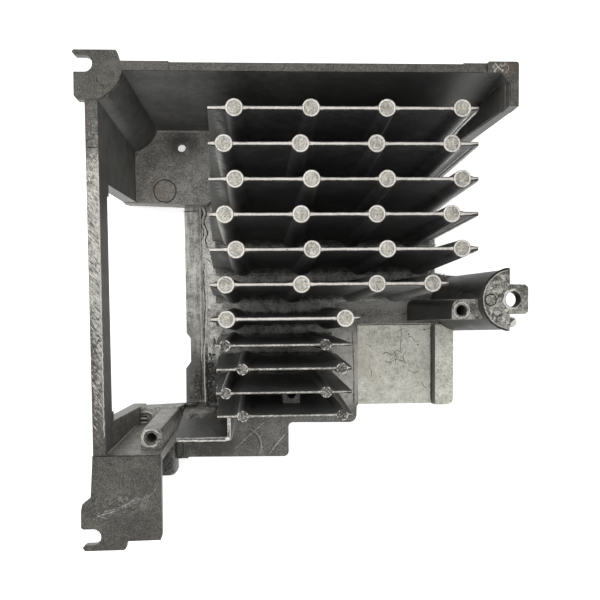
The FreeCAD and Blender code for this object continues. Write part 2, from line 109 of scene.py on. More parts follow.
# ---------------------------------------------------------------------------------------------------- materials
class Net:
    """Small helper that adds nodes to a material and joins them."""

    def __init__(self, name):
        self.mat = bpy.data.materials.new(name)
        self.mat.use_nodes = True
        self.tree = self.mat.node_tree
        self.bsdf = self.tree.nodes["Principled BSDF"]
        self.coord = self.tree.nodes.new("ShaderNodeTexCoord").outputs["Object"]

    def put(self, kind, ins=None, **props):
        n = self.tree.nodes.new(kind)
        for k, v in props.items():
            setattr(n, k, v)
        for k, v in (ins or {}).items():
            self.to(v, n.inputs[k])
        return n

    def to(self, value, socket):
        if isinstance(value, bpy.types.NodeSocket):
            self.tree.links.new(value, socket)
        else:
            socket.default_value = value

    def math(self, op, a, b=0.0, c=0.0, clamp=False):
        n = self.put("ShaderNodeMath", {0: a, 1: b, 2: c}, operation=op)
        n.use_clamp = clamp
        return n.outputs[0]

    def noise(self, scale, detail=3.0, rough=0.55, warp=0.0, at=None, stretch=None):
        v = at or self.coord
        if stretch:
            v = self.put("ShaderNodeMapping", {"Vector": v, "Scale": stretch}).outputs[0]
        n = self.put("ShaderNodeTexNoise", {"Vector": v, "Scale": scale, "Detail": detail, "Roughness": rough,
                                            "Distortion": warp})
        return n.outputs["Fac"]

    def ramp(self, x, a, b, lo=0.0, hi=1.0):
        n = self.put("ShaderNodeMapRange", {"Value": x, "From Min": a, "From Max": b, "To Min": lo, "To Max": hi})
        n.clamp = True
        return n.outputs[0]

    def blend(self, f, a, b, mode="MIX"):
        n = self.tree.nodes.new("ShaderNodeMix")
        n.data_type = "RGBA"
        n.blend_type = mode
        n.clamp_factor = True
        self.to(f, n.inputs[0])
        self.to(a, n.inputs[6])
        self.to(b, n.inputs[7])
        return n.outputs[2]


def rgb(*c):
    return (c[0], c[1], c[2], 1.0)


def cast(name, dark, mid, light, rough=(0.42, 0.62), metal=0.62, grain=1.0, mottle=1.0, wear_and_highlight=0.5, wear_and_highlight_tint=None,
         pits=0.3, streak=None, round_mm=0.3, stains_light_and_shade=(), spread=0.17, fine_scale=1500.0):
    """Die-cast aluminium: cloudy tone, fine grain, dark pores, small bright nicks, and edges made lighter, partly as
    rubbed metal and partly as a painted highlight.
    """
    m = Net(name)
    cloud = m.noise(75.0, 4.0, 0.6, 0.3)
    patch = m.noise(330.0, 5.0, 0.62, 0.2)
    fine = m.noise(fine_scale, 3.0, 0.6)
    grit = m.noise(3600.0, 2.0, 0.5)
    tone = m.math("ADD", m.math("MULTIPLY", cloud, 0.40), m.math("MULTIPLY", patch, 0.60 * mottle))
    tone = m.math("ADD", tone, m.math("MULTIPLY", fine, 0.75 * grain))
    tone = m.math("ADD", tone, m.math("MULTIPLY", grit, 0.30 * grain))
    mean = 0.5 * (0.40 + 0.60 * mottle + 0.75 * grain + 0.30 * grain)
    low = m.ramp(tone, mean - spread, mean)
    high = m.ramp(tone, mean, mean + spread)
    col = m.blend(low, rgb(*dark), rgb(*mid))
    col = m.blend(high, col, rgb(*light))
    if streak:
        s = m.noise(streak[0], 3.0, 0.6, 0.0, stretch=streak[1])
        col = m.blend(m.ramp(s, 0.54, 0.68, 0.0, streak[2]), col, rgb(*[c * 1.5 for c in light]))
        col = m.blend(m.ramp(s, 0.44, 0.34, 0.0, streak[2]), col, rgb(*[c * 0.7 for c in dark]))
    if pits:
        v = m.put("ShaderNodeTexVoronoi", {"Vector": m.coord, "Scale": 620.0, "Randomness": 1.0})
        pick = m.noise(240.0, 2.0)
        pore = m.math("MULTIPLY", m.ramp(v.outputs["Distance"], 0.24, 0.12), m.ramp(pick, 0.56, 0.64))
        col = m.blend(m.math("MULTIPLY", pore, pits * 1.6, clamp=True), col, rgb(*[c * 0.35 for c in dark]))
    # patches: real stains and file marks in some lists, painted light and painted shade in others
    for st in stains_light_and_shade:
        off = m.put("ShaderNodeVectorMath", {0: m.coord, 1: [-v * MM for v in st["at"]]}, operation="ADD").outputs[0]
        off = m.put("ShaderNodeVectorMath", {0: off, 1: [1000.0 / v for v in st["reach"]]}, operation="MULTIPLY").outputs[0]
        far = m.put("ShaderNodeVectorMath", {0: off}, operation="LENGTH").outputs["Value"]
        fade = m.ramp(far, 1.0, st.get("core", 0.55))
        if st.get("turn") is not None:
            at = m.put("ShaderNodeMapping", {"Vector": m.coord, "Rotation": (0, 0, math.radians(st["turn"]))}).outputs[0]
            at = m.put("ShaderNodeMapping", {"Vector": at, "Scale": st["stretch"]}).outputs[0]
            tex = m.noise(st.get("scale", 300.0), 3.0, 0.6, at=at)
        else:
            tex = m.noise(st.get("scale", 300.0), 4.0, 0.65)
        fleck = m.ramp(tex, st.get("lo", 0.42), st.get("hi", 0.58))
        col = m.blend(m.math("MULTIPLY", m.math("MULTIPLY", fade, fleck), st.get("amount", 0.8), clamp=True), col,
                      rgb(*st["tint"]))
    # lighter edges: partly worn metal, partly a painted highlight along every rounded edge
    soft = m.put("ShaderNodeBevel", {"Radius": round_mm * MM}, samples=4)
    true = m.put("ShaderNodeNewGeometry").outputs["True Normal"]
    same = m.put("ShaderNodeVectorMath", {0: soft.outputs[0], 1: true}, operation="DOT_PRODUCT").outputs["Value"]
    edge = m.math("MULTIPLY", m.ramp(same, 0.985, 0.86), m.ramp(patch, 0.36, 0.62, 0.25, 1.0))
    col = m.blend(m.math("MULTIPLY", edge, wear_and_highlight, clamp=True), col, rgb(*(wear_and_highlight_tint or [min(1, c * 1.7) for c in light])))
    m.to(col, m.bsdf.inputs["Base Color"])
    m.bsdf.inputs["Metallic"].default_value = metal
    r = m.ramp(m.math("ADD", m.math("MULTIPLY", patch, 0.6), m.math("MULTIPLY", fine, 0.4)), 0.35, 0.65, rough[0], rough[1])
    m.to(r, m.bsdf.inputs["Roughness"])
    height = m.math("ADD", m.math("MULTIPLY", patch, 0.9), m.math("MULTIPLY", fine, 0.45))
    height = m.math("ADD", height, m.math("MULTIPLY", grit, 0.16))
    bump = m.put("ShaderNodeBump", {"Height": height, "Strength": 0.55, "Distance": 0.00022 * grain,
                                    "Normal": soft.outputs[0]})
    m.to(bump.outputs[0], m.bsdf.inputs["Normal"])
    return m.mat


FILED = [
    dict(at=(-71.6, 24, 77.6), reach=(5, 30, 4), core=0.75, scale=520.0, lo=0.30, hi=0.60, tint=(0.46, 0.445, 0.41),
         amount=0.85),
    dict(at=(-71.6, 10, 77.6), reach=(5, 48, 4), core=0.6, scale=1900.0, lo=0.50, hi=0.60, tint=(0.075, 0.071, 0.064),
         amount=0.6),
    dict(at=(-71.6, 22, 77.6), reach=(5, 34, 4), core=0.7, turn=-33, stretch=(1.0, 0.28, 1.0), scale=2600.0, lo=0.49,
         hi=0.60, tint=(0.70, 0.67, 0.62), amount=0.9),
    dict(at=(-70.6, 10, 77.6), reach=(2.2, 55, 4), core=0.5, scale=900.0, lo=0.46, hi=0.56, tint=(0.55, 0.53, 0.49),
         amount=0.8),
    dict(at=(-71.6, -16, 77.6), reach=(5, 34, 4), core=0.5, turn=-33, stretch=(1.0, 0.24, 1.0), scale=2200.0, lo=0.53,
         hi=0.62, tint=(0.50, 0.48, 0.44), amount=0.85),
    dict(at=(-71.0, 58.5, 77.6), reach=(3.0, 9.5, 4), core=0.4, scale=1100.0, lo=0.54, hi=0.62, tint=(0.52, 0.50, 0.46),
         amount=0.5),
    dict(at=(68.0, 80.0, 78.0), reach=(4.5, 2.8, 4), core=0.4, scale=900.0, lo=0.52, hi=0.60, tint=(0.55, 0.53, 0.48),
         amount=0.9),
    dict(at=(71.3, 80.3, 78.0), reach=(3.4, 2.8, 4), core=0.3, scale=500.0, lo=0.38, hi=0.6, tint=(0.15, 0.09, 0.07),
         amount=0.65),
    dict(at=(-63.0, -69.0, 78.0), reach=(14, 5.5, 6), core=0.2, scale=800.0, lo=0.50, hi=0.60, tint=(0.30, 0.29, 0.265),
         amount=0.7),
    dict(at=(-57.0, 80.0, 78.0), reach=(12, 3, 4), core=0.8, scale=500.0, lo=0.30, hi=0.50, tint=(0.135, 0.129, 0.118),
         amount=0.35),
]
MATS = {
    "rim": cast("cast_rim", (0.045, 0.042, 0.036), (0.090, 0.084, 0.074), (0.170, 0.161, 0.144), wear_and_highlight=0.5, grain=1.6,
                metal=0.45, stains_light_and_shade=FILED, mottle=0.75, spread=0.20, fine_scale=2300.0),
    "wall": cast("cast_wall", (0.095, 0.097, 0.092), (0.165, 0.166, 0.160), (0.250, 0.250, 0.240), wear_and_highlight=0.5,
                 mottle=0.9, metal=0.35, grain=0.7, stains_light_and_shade=[
        # painted shade: the inner face of the top wall darker towards its right end
        dict(at=(44.0, 78.0, 60), reach=(46, 14, 52), core=0.3, scale=60.0, lo=0.20, hi=0.45, tint=(0.075, 0.076, 0.073),
             amount=0.7),
        dict(at=(-69.5, 62.0, 48), reach=(5, 26, 56), core=0.3, scale=160.0, lo=0.25, hi=0.55, tint=(0.36, 0.36, 0.345),
             amount=0.75)]),
    "block": cast("cast_block", (0.110, 0.107, 0.097), (0.240, 0.234, 0.215), (0.420, 0.410, 0.380), wear_and_highlight=0.8,
                  mottle=1.3, metal=0.35, grain=1.3),
    "round": cast("cast_round", (0.024, 0.025, 0.023), (0.056, 0.057, 0.053), (0.125, 0.125, 0.117), wear_and_highlight=0.8,
                  wear_and_highlight_tint=(0.45, 0.44, 0.41), mottle=1.1, metal=0.35, grain=1.0),
    "box": cast("cast_box", (0.040, 0.041, 0.038), (0.110, 0.110, 0.103), (0.210, 0.209, 0.195), wear_and_highlight=0.9,
                mottle=1.2, metal=0.35, grain=1.2),
    "outer": cast("cast_outer", (0.120, 0.117, 0.110), (0.200, 0.195, 0.185), (0.300, 0.294, 0.280), wear_and_highlight=0.5,
                  metal=0.5),
    # fin flanks: the dark colour is painted shade for the deep gaps between the fins
    "flank": cast("cast_flank", (0.060, 0.063, 0.061), (0.115, 0.118, 0.115), (0.205, 0.208, 0.202), wear_and_highlight=0.3,
                  wear_and_highlight_tint=(0.30, 0.30, 0.29), metal=0.25, grain=0.7, stains_light_and_shade=[
        # painted light: lighter towards the left ends of the fins
        dict(at=(-36.0, 62, 45), reach=(9.0, 95, 300), core=0.35, scale=180.0, lo=0.25, hi=0.42,
             tint=(0.27, 0.27, 0.255), amount=0.8),
        # painted highlight: a bright band near the rounded left ends of the fins
        dict(at=(-29.6, 62, 60), reach=(2.4, 95, 26), core=0.2, scale=260.0, lo=0.38, hi=0.55,
             tint=(0.62, 0.61, 0.58), amount=0.8),
        # painted light: lighter in the gaps between the lower fins
        dict(at=(-8, -24, 8), reach=(60, 22, 44), core=0.15, scale=260.0, lo=0.30, hi=0.55,
             tint=(0.36, 0.36, 0.34), amount=0.75),
        # painted shade: darker still at the left ends of the lower fins
        dict(at=(-30.5, -29, 45), reach=(8.5, 17, 90), core=0.55, scale=240.0, lo=0.20, hi=0.45,
             tint=(0.022, 0.022, 0.020), amount=0.9)]),
    # fin end faces: made lighter to offset the shadow of the pins on them (painted light)
    "end": cast("cast_end", (0.220, 0.215, 0.200), (0.400, 0.392, 0.368), (0.600, 0.590, 0.555), wear_and_highlight=0.5, metal=0.35),
    "gap": cast("cast_gap", (0.120, 0.120, 0.113), (0.320, 0.318, 0.300), (0.560, 0.555, 0.525), wear_and_highlight=0.4, metal=0.25,
                mottle=1.4, stains_light_and_shade=[
        dict(at=(22.5, -27, 8), reach=(9.5, 21, 6), core=0.6, scale=260.0, lo=0.25, hi=0.50, tint=(0.56, 0.55, 0.51),
             amount=0.85)]),
    "shade": cast("cast_shade", (0.050, 0.050, 0.047), (0.150, 0.149, 0.140), (0.300, 0.297, 0.280), wear_and_highlight=0.2, metal=0.25,
                  mottle=1.4),
    "tip": cast("cast_tip", (0.42, 0.40, 0.36), (0.62, 0.595, 0.55), (0.80, 0.775, 0.73), wear_and_highlight=0.3, pits=0.5,
                rough=(0.36, 0.56), metal=0.45, grain=0.9, spread=0.24),
    "tip_low": cast("cast_tip_low", (0.20, 0.19, 0.17), (0.40, 0.385, 0.355), (0.66, 0.64, 0.60), wear_and_highlight=0.2, pits=0.6,
                    rough=(0.36, 0.56), metal=0.45, grain=1.5, mottle=1.3),
    "pin": cast("cast_pin", (0.19, 0.178, 0.155), (0.385, 0.368, 0.330), (0.62, 0.598, 0.540), wear_and_highlight=0.2, pits=0.5,
                rough=(0.38, 0.58), metal=0.45, mottle=1.3, grain=1.2, spread=0.19,
                streak=(1300.0, (1.0, 0.30, 1.0), 0.3)),
    "groove": cast("cast_groove", (0.14, 0.132, 0.115), (0.245, 0.234, 0.208), (0.40, 0.385, 0.345), wear_and_highlight=0.0, pits=0.3,
                   metal=0.45, mottle=1.2, grain=1.0),
    "pin_low": cast("cast_pin_low", (0.020, 0.019, 0.017), (0.090, 0.087, 0.078), (0.330, 0.318, 0.290), wear_and_highlight=0.3,
                    pits=0.8, rough=(0.38, 0.58), metal=0.45, mottle=1.5, grain=1.6),
    "bright": cast("cast_bright", (0.46, 0.44, 0.40), (0.70, 0.675, 0.63), (0.86, 0.835, 0.79), wear_and_highlight=0.1, pits=0.3,
                   rough=(0.32, 0.50), metal=0.45),
    # near-white finish: real nicks and file strokes, and painted highlights on the shelf-recess bars
    "nick": cast("cast_nick_and_highlight", (0.70, 0.68, 0.63), (0.90, 0.875, 0.82), (0.98, 0.96, 0.91), wear_and_highlight=0.0, pits=0.0,
                 rough=(0.30, 0.46), metal=0.15),
    # dark finish: painted shade on the fin tip shoulders, round the pin ends and on the left-facing step by the plate;
    # also dark scratches and marks
    "shoulder": cast("cast_shoulder", (0.030, 0.030, 0.028), (0.075, 0.074, 0.070), (0.170, 0.168, 0.158), wear_and_highlight=0.0,
                     pits=0.0, metal=0.35, grain=1.4),
    # near-black finish: grime, pores and dark joints, and painted shade inside the lug hole, along steps and edges and
    # round the disc
    "grime": cast("cast_grime_and_shade", (0.008, 0.008, 0.007), (0.018, 0.018, 0.016), (0.050, 0.050, 0.046), wear_and_highlight=0.0,
                  pits=0.0, metal=0.0, rough=(0.6, 0.85), grain=1.4),
    "pad": cast("cast_pad", (0.070, 0.068, 0.061), (0.165, 0.162, 0.149), (0.300, 0.294, 0.272), wear_and_highlight=0.7, metal=0.4,
                grain=1.4, stains_light_and_shade=[
        dict(at=(-37.0, -60.0, 8.0), reach=(13, 9, 9), core=0.6, scale=200.0, lo=0.25, hi=0.45, tint=(0.065, 0.064, 0.058),
             amount=0.75),
        dict(at=(22.5, -27, 8), reach=(9.5, 21, 6), core=0.6, scale=260.0, lo=0.25, hi=0.50, tint=(0.56, 0.55, 0.51),
             amount=0.85),
        dict(at=(38.0, 1.0, 8.0), reach=(22, 4.5, 9), core=0.3, scale=300.0, turn=0, stretch=(0.15, 1.0, 1.0), lo=0.42,
             hi=0.58, tint=(0.42, 0.41, 0.38), amount=0.7)]),
    "flange": cast("cast_flange", (0.130, 0.123, 0.110), (0.270, 0.260, 0.240), (0.450, 0.435, 0.405), wear_and_highlight=0.7,
                   metal=0.35, grain=1.3, stains_light_and_shade=[
        dict(at=(-48.7, 69.5, 13.5), reach=(9, 8.5, 6), core=0.35, scale=160.0, lo=0.25, hi=0.45, tint=(0.055, 0.055, 0.052),
             amount=0.85),
        dict(at=(-60.0, 49.0, 13.5), reach=(7, 9, 6), core=0.3, scale=300.0, lo=0.45, hi=0.6, tint=(0.26, 0.20, 0.15),
             amount=0.6)]),
    # shelf: made lighter because it stands in shadow (painted light)
    "shelf": cast("cast_shelf", (0.240, 0.232, 0.212), (0.520, 0.507, 0.470), (0.740, 0.724, 0.680), wear_and_highlight=0.7,
                  metal=0.3, mottle=1.4, grain=1.3),
    "pocket": cast("cast_pocket", (0.008, 0.008, 0.007), (0.028, 0.027, 0.024), (0.105, 0.103, 0.094), wear_and_highlight=0.6,
                   metal=0.3, mottle=1.5, grain=1.3, stains_light_and_shade=[
        dict(at=(-41.0, -44.2, 22), reach=(8.5, 6, 26), core=0.25, scale=230.0, lo=0.34, hi=0.58, tint=(0.30, 0.293, 0.268),
             amount=0.75),
        # painted highlight in the middle of the lighter lump
        dict(at=(-40.0, -44.2, 24), reach=(6.0, 6, 13), core=0.1, scale=420.0, lo=0.44, hi=0.58, tint=(0.50, 0.49, 0.455),
             amount=0.7)]),
    "plate": cast("cast_plate", (0.370, 0.362, 0.304), (0.670, 0.662, 0.590), (0.880, 0.875, 0.805), wear_and_highlight=0.4,
                  mottle=1.5, metal=0.35, grain=1.2, spread=0.21, stains_light_and_shade=[
        dict(at=(38, -13, 3), reach=(12, 6, 9), core=0.1, scale=300.0, lo=0.44, hi=0.60, tint=(0.33, 0.32, 0.27),
             amount=0.6),
        dict(at=(58, -26, 3), reach=(5, 14, 9), core=0.1, scale=420.0, lo=0.46, hi=0.60, tint=(0.38, 0.37, 0.32),
             amount=0.6),
        dict(at=(44, -40, 3), reach=(16, 5, 9), core=0.1, scale=200.0, lo=0.42, hi=0.60, tint=(0.46, 0.45, 0.39),
             amount=0.6),
        dict(at=(56, -38, 3), reach=(16, 10, 9), core=0.1, scale=90.0, lo=0.35, hi=0.60, tint=(0.86, 0.845, 0.775),
             amount=0.6),
        dict(at=(57, -16, 3), reach=(12, 12, 9), core=0.2, scale=120.0, lo=0.35, hi=0.60, tint=(0.92, 0.91, 0.85),
             amount=0.65),
        dict(at=(32, -27, 3), reach=(10, 20, 9), core=0.1, scale=110.0, lo=0.36, hi=0.62, tint=(0.53, 0.49, 0.39),
             amount=0.6),
        dict(at=(46, -23, 3), reach=(9, 6, 9), core=0.1, scale=520.0, lo=0.44, hi=0.60, tint=(0.36, 0.345, 0.29),
             amount=0.6)]),
    "floor": cast("cast_floor", (0.28, 0.275, 0.250), (0.60, 0.592, 0.550), (0.82, 0.812, 0.765), wear_and_highlight=0.5,
                  mottle=1.5, metal=0.3, grain=1.4, stains_light_and_shade=[
        dict(at=(-37.0, -34.0, 8.0), reach=(9, 16, 9), core=0.5, scale=420.0, lo=0.36, hi=0.46, tint=(0.022, 0.022, 0.020),
             amount=0.95),
        dict(at=(-37.0, 48.0, 8.0), reach=(8, 16, 9), core=0.3, scale=420.0, lo=0.40, hi=0.5, tint=(0.10, 0.10, 0.092),
             amount=0.75),
        dict(at=(-38.0, -7.0, 8.0), reach=(7, 14, 9), core=0.2, scale=300.0, lo=0.42, hi=0.55, tint=(0.17, 0.168, 0.155),
             amount=0.75)]),
    "strip": cast("cast_strip", (0.140, 0.138, 0.126), (0.340, 0.336, 0.310), (0.560, 0.552, 0.515), wear_and_highlight=0.5,
                  mottle=1.5, metal=0.35, streak=(420.0, (1.0, 0.12, 1.0), 0.45), stains_light_and_shade=[
        dict(at=(-46.0, -31.0, 6.0), reach=(9, 18, 9), core=0.5, scale=200.0, lo=0.25, hi=0.45, tint=(0.095, 0.095, 0.088),
             amount=0.85),
        dict(at=(-45.5, -11.0, 6.0), reach=(6, 11, 9), core=0.2, scale=260.0, lo=0.30, hi=0.55, tint=(0.160, 0.158, 0.146),
             amount=0.6),
        dict(at=(-42.0, -35.0, 8.0), reach=(6.5, 16, 9), core=0.3, scale=480.0, lo=0.38, hi=0.50, tint=(0.022, 0.022, 0.020),
             amount=0.95)]),
    "disc": cast("cast_disc", (0.060, 0.057, 0.050), (0.180, 0.174, 0.156), (0.430, 0.417, 0.380), wear_and_highlight=0.7,
                 mottle=1.7, grain=1.4, metal=0.45),
    "back": cast("cast_back", (0.200, 0.198, 0.190), (0.290, 0.288, 0.278), (0.380, 0.376, 0.365), wear_and_highlight=0.5),
}
ORDER = list(MATS)

# ------------------------------------------------------------------------------------------------------ casting
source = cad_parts["heat_sink"].data
co = np.zeros(len(source.vertices) * 3)
source.vertices.foreach_get("co", co)
co = co.reshape(-1, 3)
key = np.round(co * 1e6).astype(np.int64)
_, first, inverse = np.unique(key, axis=0, return_index=True, return_inverse=True)
inverse = inverse.reshape(-1)
tri = [[int(inverse[v]) for v in p.vertices] for p in source.polygons]
tri = [t for t in tri if len(set(t)) == len(t)]
mesh = bpy.data.meshes.new("casting")
mesh.from_pydata([tuple(c) for c in co[first]], [], tri)
mesh.update()
casting = link(bpy.data.objects.new("casting", mesh))
for k in ORDER:
    mesh.materials.append(MATS[k])

ROW_Y = [66.5, 54.5, 42.5, 30.5, 18.5, 6.5, -5.4, -14.5, -22.75, -31.0, -39.1]


def zone(c, n):
    """Which finish a face has, from its middle and its normal, in millimetres."""
    x, y, z = c
    up = n[2]
    if up < -0.7:
        return "back" if z < 12 else "wall"
    # painted shade: the walls inside the lug hole are made near black
    if abs(up) < 0.5 and z > 5 and math.hypot(x - 72.95, y - 0.65) < 3.25:
        return "grime"
    fins = -37.5 < x < 62.2 and -42.3 < y < 69.0
    if fins and z > 77.25 and up > 0.7 and not (x > 52.5 and -8 < y < 2.8) and (x < 18.5 or y > 2):
        if z > 77.7:
            return "pin" if y > -12 else "pin_low"
        return "tip" if y > -12 else "tip_low"
    if up > 0.7:
        if z > 77.2 and -50.5 < x < -25 and -49.5 < y < -38:
            return "box"
        if x > 72.9 and -12 < y < -4.9:
            return "plate"
        if x > 60 and -14 < y < 14 and z > 77:
            return "disc"
        if z > 74:
            return "rim"
        if 49 < x < 68 and -8 < y < 3.5 and z > 70:
            return "disc"
        if x < -51 and -54 < y < -43 and z > 60:
            return "disc"
        if -52 < x < -42 and -62 < y < -50:
            return "box"
        if z > 45:
            return "pad"
        if x > 27 and y < -8 and z < 12:
            return "plate"
        if -41.3 < x < -33 and -43 < y < 46 and z < 9.5:
            return "floor"
        if -50 < x < -33 and -43 < y < 45 and z < 9.5:
            return "strip"
        if -52 < x < -26 and -49.5 < y < -38:
            return "pocket"
        if x < -36 and y > 43.5:
            return "flange"
        if x < -45 and y < -54:
            return "box"
        if x < -50 and y < -40:
            # the shaded shelf gets the lighter 'shelf' finish: painted light
            return "shelf"
        if fins and z < 20 and (x < 18.5 or y > 5):
            return "gap"
        if x < -45 and y < -50:
            return "box"
        return "pad"
    inside = fins and 7.5 < z < 77.3 and (x < 18.6 or y > 1.0 or z < 9)
    if inside:
        # fin end faces get the lighter 'end' finish: painted light
        if n[0] < -0.6 and x < -29.5:
            return "end"
        if n[0] > 0.6 and (x > 48.0 or (x > 14.0 and y < 1)):
            return "end"
        # fin flanks get the dark 'flank' finish: painted shade
        return "flank"
    if x < -73.2 or y > 81.2 or x > 74.4 or y < -73 or x < -61 and y < -56:
        return "outer"
    # painted shade: the left-facing step face beside the plate is made dark
    if n[0] < -0.7 and 61 < x < 63 and y < -8 and z < 12:
        return "shoulder"
    if -69 < x < -45 and -56 < y < -40 and z > 13.6:
        # the slab's side facing +X stands in shade and gets the lighter 'block' finish: painted light
        return "block" if x < -51.5 or n[1] > 0.6 or n[0] > 0.6 else "box"
    if -52 < x < -42 and -62 < y < -50 and z > 8.5:
        return "box"
    if x > 45 and y < 14 and z > 9:
        return "round"
    if -52 < x < -26 and -49.5 < y < -38 and z < 77.3:
        return "pocket"
    if z < 14 and x > 18:
        return "plate" if y < -8 else "pad"
    if z < 14:
        return "strip" if x > -50 and y < 45 else "pad"
    return "wall"


for p in mesh.polygons:
    c = p.center
    p.material_index = ORDER.index(zone((c.x / MM, c.y / MM, c.z / MM), p.normal))
bm = bmesh.new()
bm.from_mesh(mesh)
for e in bm.edges:
    e.smooth = len(e.link_faces) == 2 and e.calc_face_angle(3.2) < math.radians(28)
for f in bm.faces:
    f.smooth = True
bm.to_mesh(mesh)
bm.free()
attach(casting, "root")
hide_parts("heat_sink")

# ------------------------------------------------------------------------------------------------ small details
skin = BVHTree.FromPolygons([tuple(c) for c in co[first]], tri)
dice = random.Random(7)


class Piece:
    """Collects the faces of one detail object, each face with its finish."""

    def __init__(self, name):
        self.name, self.v, self.f, self.m = name, [], [], []

    def loft(self, rings, finish, closed=False):
        """Closed cross-sections joined one after another; finish is a name or a function of (ring, side)."""
        base, n = len(self.v), len(rings[0])
        for r in rings:
            self.v.extend(tuple(p) for p in r)
        pairs = [(i, i + 1) for i in range(len(rings) - 1)] + ([(len(rings) - 1, 0)] if closed else [])
        for i, j in pairs:
            for k in range(n):
                q = (k + 1) % n
                self.f.append((base + i * n + k, base + i * n + q, base + j * n + q, base + j * n + k))
                self.m.append(finish(i, k) if callable(finish) else finish)
        if not closed:
            for i, order in ((0, range(n - 1, -1, -1)), (len(rings) - 1, range(n))):
                self.f.append(tuple(base + i * n + k for k in order))
                self.m.append(finish(i, 0) if callable(finish) else finish)

    def turned(self, mid, rings, finish):
        """A cap: one middle point and rings round it, closed by a flat face underneath."""
        base, n = len(self.v), len(rings[0])
        self.v.append(tuple(mid))
        for r in rings:
            self.v.extend(tuple(p) for p in r)
        for k in range(n):
            self.f.append((base, base + 1 + k, base + 1 + (k + 1) % n))
            self.m.append(finish(0, k) if callable(finish) else finish)
        for i in range(len(rings) - 1):
            for k in range(n):
                a, b = base + 1 + i * n, base + 1 + (i + 1) * n
                q = (k + 1) % n
                self.f.append((a + k, b + k, b + q, a + q))
                self.m.append(finish(i + 1, k) if callable(finish) else finish)
        last = base + 1 + (len(rings) - 1) * n
        self.f.append(tuple(last + k for k in range(n - 1, -1, -1)))
        self.m.append(finish(len(rings) - 1, 0) if callable(finish) else finish)

    def done(self):
        me = bpy.data.meshes.new(self.name)
        me.from_pydata(self.v, [], self.f)
        used = sorted(set(self.m))
        for k in used:
            me.materials.append(MATS[k])
        for q, k in zip(me.polygons, self.m):
            q.material_index = used.index(k)
        b = bmesh.new()
        b.from_mesh(me)
        bmesh.ops.recalc_face_normals(b, faces=b.faces)
        for e in b.edges:
            e.smooth = len(e.link_faces) == 2 and e.calc_face_angle(3.2) < math.radians(70)
        for q in b.faces:
            q.smooth = True
        b.to_mesh(me)
        b.free()
        o = link(bpy.data.objects.new(self.name, me))
        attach(o, "root")
        return o


def wob(x, y, z=0.0):
    return noise.noise(Vector((x, y, z)))


def curve(pts, closed=False, step=0.55):
    """Points along a smooth line through the given ones, in millimetres."""
    p = [Vector(q) for q in pts]
    n = len(p)
    if n == 2 and not closed:
        m = max(1, int((p[1] - p[0]).length / step))
        return [p[0].lerp(p[1], i / m) for i in range(m + 1)]
    out = []
    for i in range(n if closed else n - 1):
        a, b = p[i], p[(i + 1) % n]
        a0 = p[i - 1] if closed or i else a * 2 - b
        b1 = p[(i + 2) % n] if closed or i + 2 < n else b * 2 - a
        m = max(1, int((b - a).length / step))
        for k in range(m):
            t = k / m
            out.append(0.5 * ((2 * a) + (b - a0) * t + (2 * a0 - 5 * a + 4 * b - b1) * t * t
                              + (3 * a - a0 - 3 * b + b1) * t ** 3))
    if not closed:
        out.append(p[-1])
    return out


def bead(piece, pts, half, high, finish, closed=False, flat=None, seed=0.0, rough=0.4, step=0.55):
    """A low raised line that follows the metal. flat is a height in millimetres for marks on level ground."""
    path = curve(pts, closed, step)
    n = len(path)
    rings = []
    for i, q in enumerate(path):
        if flat is not None:
            spot, up = Vector((q.x, q.y, flat)), Vector((0, 0, 1))
        else:
            spot, up, _, far = skin.find_nearest(q * MM)
            spot = spot / MM
        ahead = path[(i + 1) % n] if closed or i < n - 1 else q
        behind = path[i - 1] if closed or i else q
        along = (ahead - behind).normalized()
        side = up.cross(along)
        if side.length < 1e-6:
            continue
        side.normalize()
        fade = 1.0 if closed else min(1.0, (min(i, n - 1 - i) + 0.4) / 2.5)
        w = half * fade * (1 + rough * wob(q.x * 1.3, q.y * 1.3, seed + q.z * 0.7))
        h = high * (0.35 + 0.65 * fade) * (1 + rough * wob(q.x * 1.1 + 40, q.y * 1.1, seed + 9))
        mid = spot + side * (half * rough * 1.2 * wob(q.x * 0.8, q.y * 0.8 + 70, seed + 4))
        rings.append([(mid + side * (w * a) + up * b) * MM for a, b in
                      ((-1.0, -0.03), (-0.62, h * 0.72), (0.0, h), (0.62, h * 0.72), (1.0, -0.03), (0.0, -0.06))])
    piece.loft(rings, finish, closed)


def circle(x, y, z, r, n=26, a0=0.0, a1=360.0):
    full = a1 - a0 >= 360.0
    m = n if full else n + 1
    return [(x + r * math.cos(math.radians(a0 + (a1 - a0) * i / n)), y + r * math.sin(math.radians(a0 + (a1 - a0) * i / n)), z)
            for i in range(m)]


def blob(piece, at, rx, ry, high, finish, turn=0.0, seed=0.0, flat=None, rough=0.35, n=12):
    """A small irregular lump or spot lying on the metal."""
    if flat is not None:
        spot, up = Vector((at[0], at[1], flat)), Vector((0, 0, 1))
    else:
        spot, up, _, far = skin.find_nearest(Vector(at) * MM)
        spot = spot / MM
    u = Vector((math.cos(turn), math.sin(turn), 0.0))
    u = (u - up * u.dot(up)).normalized()
    v = up.cross(u)
    rings = []
    for f, h in ((0.34, 1.0), (0.62, 0.9), (0.84, 0.6), (1.0, -0.03 / max(high, 0.01)), (0.96, -0.08 / max(high, 0.01))):
        ring = []
        for k in range(n):
            a = 2 * math.pi * k / n
            out = f * (1 + rough * wob(math.cos(a) * 1.7 + seed, math.sin(a) * 1.7, seed * 3.1))
            lift = high * h * (1 + (rough * 1.4 * wob(math.cos(a) * 2.4 + 11, math.sin(a) * 2.4 + f * 3, seed) if h > 0 else 0))
            ring.append((spot + u * (rx * out * math.cos(a)) + v * (ry * out * math.sin(a)) + up * lift) * MM)
        rings.append(ring)
    piece.turned((spot + up * high) * MM, rings, finish)


